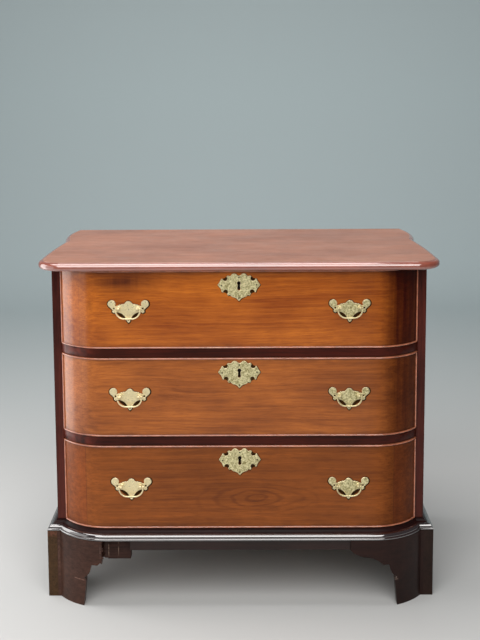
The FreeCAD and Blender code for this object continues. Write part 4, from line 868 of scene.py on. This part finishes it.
# Locks. Iron cases let into the backs of the fronts, filed flat and long since browned, each with a
# steel bolt that a key throws up into the wood above.
def make_tarnish():
    """Old metal between a bright and a dull colour: cloudy tarnish, fine speckle and short scratches, made
    bright along the edges that handling polishes and where a highlight is painted."""
    inputs = [("Place", "vector"), ("Bright", "colour"), ("Dull", "colour"), ("Rim", "colour"),
              ("Scale", "value"), ("Rub", "value")]
    outputs = [("Color", "colour"), ("Roughness", "value"), ("Height", "value")]
    tree, given, made = new_group("tarnish", inputs, outputs)
    sizes = {0: given["Place"], 3: given["Scale"]}
    spot = add(tree, "ShaderNodeVectorMath", sizes, operation="SCALE").outputs[0]
    coarse = span(tree, cloud(tree, spot, (1.0, 1.0, 1.0), 5.0, 0.6), 0.36, 0.66)
    speckle = span(tree, cloud(tree, spot, (2.4, 2.4, 2.4), 3.0, 0.6), 0.4, 0.62)
    scratch = span(tree, cloud(tree, spot, (14.0, 14.0, 2.0), 2.0), 0.45, 0.7)
    mixed = reckon(tree, "MULTIPLY", coarse, 0.4)
    mixed = reckon(tree, "ADD", mixed, reckon(tree, "MULTIPLY", speckle, 0.6))
    colour = blend(tree, mixed, given["Bright"], given["Dull"])
    colour = blend(tree, given["Rub"], colour, given["Rim"])
    tree.links.new(colour, made.inputs["Color"])
    rough = reckon(tree, "ADD", reckon(tree, "MULTIPLY", mixed, 0.2), 0.3)
    rough = reckon(tree, "SUBTRACT", rough, reckon(tree, "MULTIPLY", given["Rub"], 0.08))
    tree.links.new(rough, made.inputs["Roughness"])
    relief = reckon(tree, "ADD", speckle, reckon(tree, "MULTIPLY", scratch, 0.5))
    tree.links.new(relief, made.inputs["Height"])
    return tree


tarnish = make_tarnish()


def metal(name, bright, dull, rim, scale, bare, relief):
    """A metal with its own tarnish, so far bare and clean that it shines as metal, and engraved or pitted.
    """
    material, tree, place = new_material(name)
    inputs = {"Place": place, "Bright": bright, "Dull": dull, "Rim": rim, "Scale": scale,
              "Rub": marked(tree, "rub")}
    surface = add(tree, "ShaderNodeGroup", inputs, node_tree=tarnish)
    pit_depth = 0.0004
    bump = add(tree, "ShaderNodeBump", {"Height": surface.outputs["Height"], "Strength": relief,
                                        "Distance": pit_depth}).outputs[0]
    finish_material(tree, {"Base Color": surface.outputs["Color"], "Metallic": bare,
                           "Roughness": surface.outputs["Roughness"], "Normal": bump})
    return material


iron = metal("browned_iron", tint(92, 82, 74), tint(58, 44, 36), tint(110, 100, 90), scale=70.0,
             bare=0.8, relief=0.3)
steel = metal("bolt_steel", tint(170, 166, 158), tint(120, 112, 102), tint(190, 186, 180), scale=90.0,
              bare=1.0, relief=0.2)
for drawer in DRAWERS:
    dress([f"{drawer}_lock"], iron, ease=0.0005)
    dress([f"{drawer}_lock_bolt"], steel, ease=0.0004)


# Escutcheons. Cast brass plates with a scalloped, horned outline, pierced for the key and pinned on with
# four small pins. Polish has left them pale, with green-brown in the hollows, and round them lies a dark
# film that is partly old waxy polish and partly painted shadow.
plate_thick = 0.0016
plate_ease = 0.0007
wax_thick = 0.00025
wax_ease = 0.0002
pin_radius = 0.0019
pin_high = 0.0007
PINS = ((0, 0.0205), (-0.0415, 0.001), (0.042, 0.0026), (0, -0.029))
pull_x = 0.263


def softened(line, step):
    """A closed line divided into equal steps and then with each corner cut a quarter of a step in, so that
    straight lengths run into each other as on filed brass."""
    ring = np.concatenate([line, line[:1]])
    walked = np.concatenate([[0], np.cumsum(np.hypot(*np.diff(ring, axis=0).T))])
    stops = np.linspace(0, walked[-1], int(walked[-1] / step), endpoint=False)
    even = np.stack([np.interp(stops, walked, ring[:, 0]), np.interp(stops, walked, ring[:, 1])], 1)
    after = np.roll(even, -1, axis=0)
    return np.stack([even * 0.75 + after * 0.25, even * 0.25 + after * 0.75], 1).reshape(-1, 2)


def drawn_in(line, amount):
    """A closed line, walked with its inside on the left, moved inward by an amount along its normals."""
    way = np.roll(line, -1, axis=0) - np.roll(line, 1, axis=0)
    way = way / np.linalg.norm(way, axis=1)[:, None]
    return line + amount * np.stack([-way[:, 1], way[:, 0]], 1)


def plate_rings(line, front, thick, ease):
    """A plate's rim: its outline carried from the wood to just short of the face, then drawn in over an
    eased edge. Drawn out instead, by a negative ease, it is the rim of a hole."""
    inner = drawn_in(line, ease)
    fall = abs(ease)
    levels = [(line, front + thick), (line, front + fall),
              (line * 0.35 + inner * 0.65, front + fall * 0.35), (inner, front),
              (drawn_in(line, ease * 1.35), front)]
    return np.stack([np.column_stack([ring[:, 0], np.full(len(ring), y), ring[:, 1]])
                     for ring, y in levels])


def leftness(x):
    """How far a place lies to the left: 1 at the left pulls, 0 at the right ones."""
    return ramp(-x, -pull_x, pull_x)


def make_plates(name, outlines, holes, thick, ease, material, body, slot, nodes=(), worn=0.0):
    """Plates of one thickness on the drawer's face, with rims brightened by handling, closed across in
    front and behind. Left sheen says how far the faces on the left are painted bright, as a highlight from
    the side the light comes from."""
    grids = [plate_rings(line, face_y - thick, thick, ease) for line in outlines]
    grids += [plate_rings(line, face_y - thick, thick, -ease) for line in holes]
    points, faces = joined(grids, capped=False)
    ring_rub = [0.2, 0.9, 1.0, 0.8, 0.0]
    rub = np.concatenate([np.repeat(ring_rub, grid.shape[1]) for grid in grids])
    # The left-hand plates are painted brighter, as a highlight from the side the light comes from.
    rub = np.maximum(rub, worn * leftness(points[:, 0]))
    build(name, points, faces, material, body, slot, nodes, crease=40.0, filled=face_y - thick / 2,
          rub=rub)


def both_sides(half):
    """A closed outline from its right half, walked from the bottom to the top, and the mirrored left."""
    half = np.asarray(half, float)
    return np.concatenate([half, flipped(half)[1:-1]]) / 1000


def scutcheon_outline():
    """Half of the escutcheon in millimetres about the keyhole: tip, scallop, horn, round bite, barb, ear,
    barb, upper bite, horn, notch and bump, then mirrored and softened."""
    return softened(both_sides(np.concatenate([
        [(0, -36.5), (6.5, -29.5)],
        turned_arc((12.9, -19), 8, -89, -18, 7),
        [(25.8, -23.2)],
        turned_arc((31.5, -14), 5.6, 236, -12, 15),
        [(39.8, -15.6), (43.2, -6.5), (50.5, 2.5), (45, 11), (41.2, 17.8)],
        turned_arc((33, 17.8), 5.6, -8, -232, 15),
        [(27, 25.4), (21, 23.8)],
        turned_arc((11.3, 22.4), 8, 23, 154, 11),
        [(0, 24.5)],
    ])), 0.0011)


def key_wax_outline():
    """Half of the dark film about the escutcheon in millimetres, partly old waxy polish and partly painted
    shadow: a little wider than the plate, and caught across its round bites, where a cloth can't reach and
    shade falls."""
    return softened(both_sides(np.concatenate([
        [(0, -38), (7, -30.6), (13.2, -27.8), (20.4, -23.6), (26, -24.6), (28.6, -18.6), (32, -16.2)],
        [(36.2, -14.6), (40.6, -16.6), (44.4, -6.8), (52, 2.5), (46.2, 11.6), (42.4, 18.6), (37.6, 18.6)],
        [(33.8, 20), (30.2, 23), (27.3, 26.4), (21, 25)],
        turned_arc((11.3, 22.4), 9, 23, 154, 11),
        [(0, 25.6)],
    ])), 0.0011)


def keyhole_outline():
    """A round head over a narrower slot with a rounded end, in metres about the keyhole's middle."""
    head = turned_arc((0, 6.8), 4.5, -51, 231, 19)
    foot = turned_arc((0, -7.4), 3.55, 180, 360, 11)
    return np.concatenate([head, foot]) / 1000


def domed(centre, radius, height, rows=5, around=14):
    """A small round head: circles that shrink towards the crown as a sphere's do, facing forward."""
    up = np.linspace(0, math.pi / 2, rows)[:, None]
    turn = np.linspace(0, 2 * math.pi, around, endpoint=False)[None, :]
    x = centre[0] + radius * np.cos(up) * np.cos(turn)
    z = centre[2] + radius * np.cos(up) * np.sin(turn)
    y = centre[1] - height * np.sin(up) + 0 * turn
    return np.stack([x, y, z], 2)


def make_key_plate(drawer, high):
    """The pierced plate, the dark film that shows round it, partly old waxy polish and partly painted
    shadow, and its four pins.
    """
    key_place = np.array([0, high - key_drop])
    outline = scutcheon_outline() + key_place
    make_plates(f"{drawer}_key_plate", [outline], [keyhole_outline() + key_place], plate_thick, plate_ease,
                brass, f"{drawer}_drawer", "brass", [f"{drawer}_escutcheon"])
    # The film is set a little down and to the right of the plate, as a painted shadow would fall.
    smear = key_wax_outline() + key_place + (0.0005, -0.0006)
    make_plates(f"{drawer}_key_plate_wax", [smear], [keyhole_outline() * 1.2 + key_place], wax_thick,
                wax_ease, wax, f"{drawer}_drawer", "front_wood")
    heads = [domed((x, face_y - plate_thick + 0.0002, key_place[1] + z), pin_radius, pin_high)
             for x, z in PINS]
    points, faces = joined(heads)
    build(f"{drawer}_key_plate_pins", points, faces, pin_brass, f"{drawer}_drawer", "brass")


brass = metal("old_brass", tint(253, 243, 192), tint(136, 124, 70), tint(253, 236, 190), scale=130.0,
              bare=0.7, relief=0.6)
# The pin heads are nearly black: partly tarnish, partly painted shade of the holes they sit in.
pin_brass = metal("pin_brass", tint(44, 35, 22), tint(20, 15, 10), tint(44, 35, 22), scale=300.0,
                  bare=0.5, relief=0.2)
wax = wood("old_wax", tint(66, 42, 12), tint(34, 20, 6), ALONG_X, bands=0.4, clouds=0.6, dull=0.2,
           under=0.05)
for drawer, (drawer_low, drawer_high) in DRAWERS.items():
    make_key_plate(drawer, drawer_high)


# Pulls. Each has a pierced bat-wing plate of cast brass, two turned posts that pass through the front to
# square nuts, and a swinging bail whose ends turn in the posts' heads.
pull_rise = 0.0045
post_half = 0.0225
pivot_y = face_y - 0.012
PIERCINGS = ((-0.0345, -0.0015, 0.0023), (0.0345, -0.0015, 0.0023), (0, -0.031, 0.0011))


def pull_outline():
    """Half of the pull's plate in millimetres about the middle of its posts: drop, hollow, spur, wing,
    ear, neck, bumps and crest, then mirrored and softened."""
    return softened(both_sides(np.concatenate([
        [(0, -36), (2.6, -34.4), (4.6, -31), (3.6, -27.6)],
        turned_arc((28.4, -34.5), 24, 156, 98, 9),
        [(30, -10.2), (34.5, -13), (38.5, -9.5), (37.3, -5)],
        turned_arc((39.5, 9.5), 9.3, -60, 215, 21),
        [(28.5, 4.5), (23.6, 6.2), (21, 8.6), (18.4, 7.4), (15.6, 9.8), (12.6, 8.8)],
        turned_arc((0, 8), 8.7, 20, 90, 7),
    ])), 0.0010)


def smear_outline():
    """Half of the dark film about a pull in millimetres, partly old waxy polish and partly painted shadow:
    a little wider than the plate, and caught across the hollows behind the bail, where a cloth can't reach
    and shade falls."""
    return softened(both_sides(np.concatenate([
        [(0, -38), (5.4, -32.4), (7, -28), (15, -22.5), (22.5, -17), (26, -11.8)],
        [(34.8, -14.6), (40.4, -10), (39.3, -5.5)],
        turned_arc((40, 9.3), 10.4, -60, 200, 21),
        [(27.5, 4.8), (23.6, 6.8), (21, 9.6), (18.4, 8.4), (15.6, 10.9), (12.6, 9.9)],
        turned_arc((0, 8), 10, 20, 90, 7),
    ])), 0.0010)


def turned(profile, around, phase=0.0):
    """A turned shape: a profile of radius and place along its axis, spun about that axis. Gives the two
    places across the axis and the place along it."""
    turn = np.linspace(0, 2 * math.pi, around, endpoint=False)[None, :] + phase
    radius = np.asarray(profile)[:, :1]
    along = np.asarray(profile)[:, 1:] + 0 * turn
    return radius * np.cos(turn), radius * np.sin(turn), along


def post_profile():
    """The post from its shank inside the nut to the crown of its head: collar, neck and ball."""
    ball = turned_arc((0, -12), 4, 38, -88, 15)
    return np.concatenate([
        [(0.05, 26.0), (2.2, 25.6), (2.3, -1.5), (4.2, -1.6), (4.4, -2.0), (4.2, -2.5)],
        [(2.6, -3.2), (2.3, -5.5)],
        np.stack([np.abs(ball[:, 0]), ball[:, 1]], 1),
        [(0.05, -16.0)],
    ]) / 1000


def nut_profile():
    """A square nut's half section, its corners eased, between the drawer front and the inside."""
    return np.array([(0.05, 24.0), (6.2, 24.0), (7.0, 24.6), (7.0, 27.4), (6.2, 28.0), (0.05, 28.0)]) / 1000


def bail_line():
    """The bail from one pivot to the other: down an arm, round a bend, along the bottom and up again, as
    places across and down in metres."""
    bend = turned_arc((8.9, -4), 20, 0, -90, 15)
    half = np.concatenate([[(28.9, 0), (28.9, -2)], bend, [(4, -24.1)]])
    return np.concatenate([half, [(0, -24.15)], flipped(half)]) / 1000


def tube(line, radius, around):
    """A round bar along a flat line: circles square to the line's direction, each with its own radius."""
    way = np.gradient(line, axis=0)
    way = way / np.linalg.norm(way, axis=1)[:, None]
    turn = np.linspace(0, 2 * math.pi, around, endpoint=False)[None, :]
    reach = radius[:, None] * np.cos(turn)
    x = line[:, :1] - way[:, 1:] * reach
    z = line[:, 1:] + way[:, :1] * reach
    y = radius[:, None] * np.sin(turn)
    return np.stack([x, y, z], 2)


def knuckle(sign):
    """The bail's end beside a post: a pin into the post's head and a fat eye outside it, turned about the
    pivot's line."""
    profile = [(0.1, 22.4), (1.4, 22.5), (1.4, 26.95), (2.4, 27.0), (2.9, 27.5), (2.9, 29.9), (2.4, 30.5),
               (0.1, 30.7)]
    y, z, x = turned(np.array(profile) / 1000, 16)
    return np.stack([sign * x, y, z], 2)


def make_pulls(drawer, low, high):
    """A drawer's two pulls: both plates with their piercings, the dark film behind them that is partly old
    waxy polish and partly painted shadow, four posts with their nuts, and a bail for each that is thickest
    in the middle."""
    post_z = (low + high) / 2 + pull_rise
    outlines = [pull_outline() + (side * pull_x, post_z) for side in (-1, 1)]
    eyes = [turned_arc((side * pull_x + reach, post_z + lift), size, 0, 345, 16)
            for side in (-1, 1) for reach, lift, size in PIERCINGS]
    make_plates(f"{drawer}_bat_wings", outlines, eyes, plate_thick, plate_ease, brass, f"{drawer}_drawer",
                "brass", [f"{drawer}_pull_plates"], worn=0.75)
    # The film is set a little down and to the right of each plate, as a painted shadow would fall.
    smears = [smear_outline() * (1.025, 1.04) + (side * pull_x + 0.0003, post_z - 0.0004)
              for side in (-1, 1)]
    make_plates(f"{drawer}_bat_wings_wax", smears, [], wax_thick, wax_ease, wax, f"{drawer}_drawer",
                "front_wood")
    grids = []
    for x in (-pull_x - post_half, -pull_x + post_half, pull_x - post_half, pull_x + post_half):
        for profile, around, phase in ((post_profile(), 20, 0.0), (nut_profile(), 4, math.pi / 4)):
            across, up, along = turned(profile, around, phase)
            grids.append(np.stack([across + x, along + face_y, up + post_z], 2))
    points, faces = joined(grids)
    # Posts are a little bright all over from handling, and painted brighter on the left pulls as a
    # highlight from the lit side.
    build(f"{drawer}_turned_posts", points, faces, brass, f"{drawer}_drawer", "brass",
          [f"{drawer}_pull_posts"], rub=0.3 + 0.5 * leftness(points[:, 0]))
    line = bail_line()
    thin, swell, swell_half = 0.00175, 0.0005, 0.009
    bar = tube(line, thin + swell * np.exp(-(line[:, 0] / swell_half) ** 2), 14)
    bail, faces = joined([bar, knuckle(-1), knuckle(1)])
    for label, side in (("left", -1), ("right", 1)):
        points = bail + (side * pull_x, pivot_y, post_z)
        # Bails are a little bright all over from handling, and painted brighter on the left pulls as a
        # highlight from the lit side.
        build(f"{drawer}_swing_{label}", points, faces, brass, f"{drawer}_bail_{label}", "brass",
              [f"{drawer}_bail_{label}"], crease=40.0, rub=0.35 + 0.5 * leftness(points[:, 0]))


for drawer, (drawer_low, drawer_high) in DRAWERS.items():
    make_pulls(drawer, drawer_low, drawer_high)


# Studio. A plain pale floor that sweeps up into a bluer wall behind, soft light from the front, above
# and the left, and a camera a little above the chest that looks straight at its front.
def make_floor():
    """A floor that turns up in a quarter round into a wall behind, ruled from side to side. Its paper
    becomes bluer from near to far."""
    reach, bend_start, bend_radius, wall_top = 14.0, 3.0, 1.2, 5.0
    bend = turned_arc((bend_start, bend_radius), bend_radius, -90, 0, 17)
    line = np.concatenate([[(-reach, 0), (0.3, 0)], bend, [(bend_start + bend_radius, wall_top)]])
    grid = np.stack([np.repeat([[-reach, reach]], len(line), 0), np.repeat(line[:, :1], 2, 1),
                     np.repeat(line[:, 1:], 2, 1)], 2)
    mesh = bpy.data.meshes.new("floor")
    mesh.from_pydata(grid.reshape(-1, 3).tolist(), [],
                     skin(len(line), 2, closed=False, capped=False))
    mesh.shade_smooth()
    material, tree, place = new_material("floor_paper")
    away = add(tree, "ShaderNodeSeparateXYZ", {0: place}).outputs["Y"]
    colour = blend(tree, span(tree, away, 0.6, 3.6), tint(198, 199, 198), tint(222, 236, 238))
    finish_material(tree, {"Base Color": colour, "Roughness": 0.9, "Specular IOR Level": 0.1})
    mesh.materials.append(material)
    floor = placed("floor", mesh)


def make_lamp(name, place, target, size, power, colour):
    """A soft rectangular lamp that faces a point."""
    data = bpy.data.lights.new(name, "AREA")
    data.shape = "RECTANGLE"
    data.size, data.size_y = size
    data.energy = power
    data.color = colour
    lamp = placed(name, data)
    lamp.location = place
    lamp.rotation_euler = (Vector(place) - Vector(target)).to_track_quat("Z", "Y").to_euler()


make_floor()
sky_colour = (1.0, 0.98, 0.96)
room_colour = (1.0, 0.98, 0.97)
make_lamp("sky_panel", (-0.1, -2.4, 2.6), (0, -0.2, 0.6), size=(3.4, 2.6), power=105, colour=sky_colour)
make_lamp("overhead", (-0.55, 0.1, 3.0), (-0.55, 0.1, 0.8), size=(2.4, 1.4), power=52, colour=room_colour)
make_lamp("left_window", (-1.6, 0.0, 0.8), (0, 0.0, 0.8), size=(0.8, 1.6), power=11, colour=room_colour)
make_lamp("left_glow", (-1.6, -0.95, 0.8), (0, -0.95, 0.8), size=(1.1, 1.6), power=5, colour=room_colour)
world = bpy.data.worlds.new("studio")
world.use_nodes = True
backdrop = world.node_tree.nodes["Background"]
backdrop.inputs["Color"].default_value = (0.08, 0.085, 0.09, 1)
backdrop.inputs["Strength"].default_value = 1.0
bpy.context.scene.world = world

lens_pixels = 1032.7
frame_high = 640
sensor = 36.0
camera_data = bpy.data.cameras.new("camera")
camera_data.sensor_width = sensor
camera_data.lens = lens_pixels / frame_high * sensor
camera_data.shift_y = -0.18875
camera = placed("camera", camera_data)
camera_place = (0.0154, -2.6598, 1.2767)
pitch, yaw, roll = (math.radians(angle) for angle in (6.607, -0.280, -0.292))
aim = Euler((math.pi / 2 - pitch, 0, -yaw)).to_matrix() @ Matrix.Rotation(roll, 3, "Z")
camera.matrix_world = Matrix.Translation(camera_place) @ aim.to_4x4()
bpy.context.scene.camera = camera
bpy.context.scene.view_settings.view_transform = "Standard"
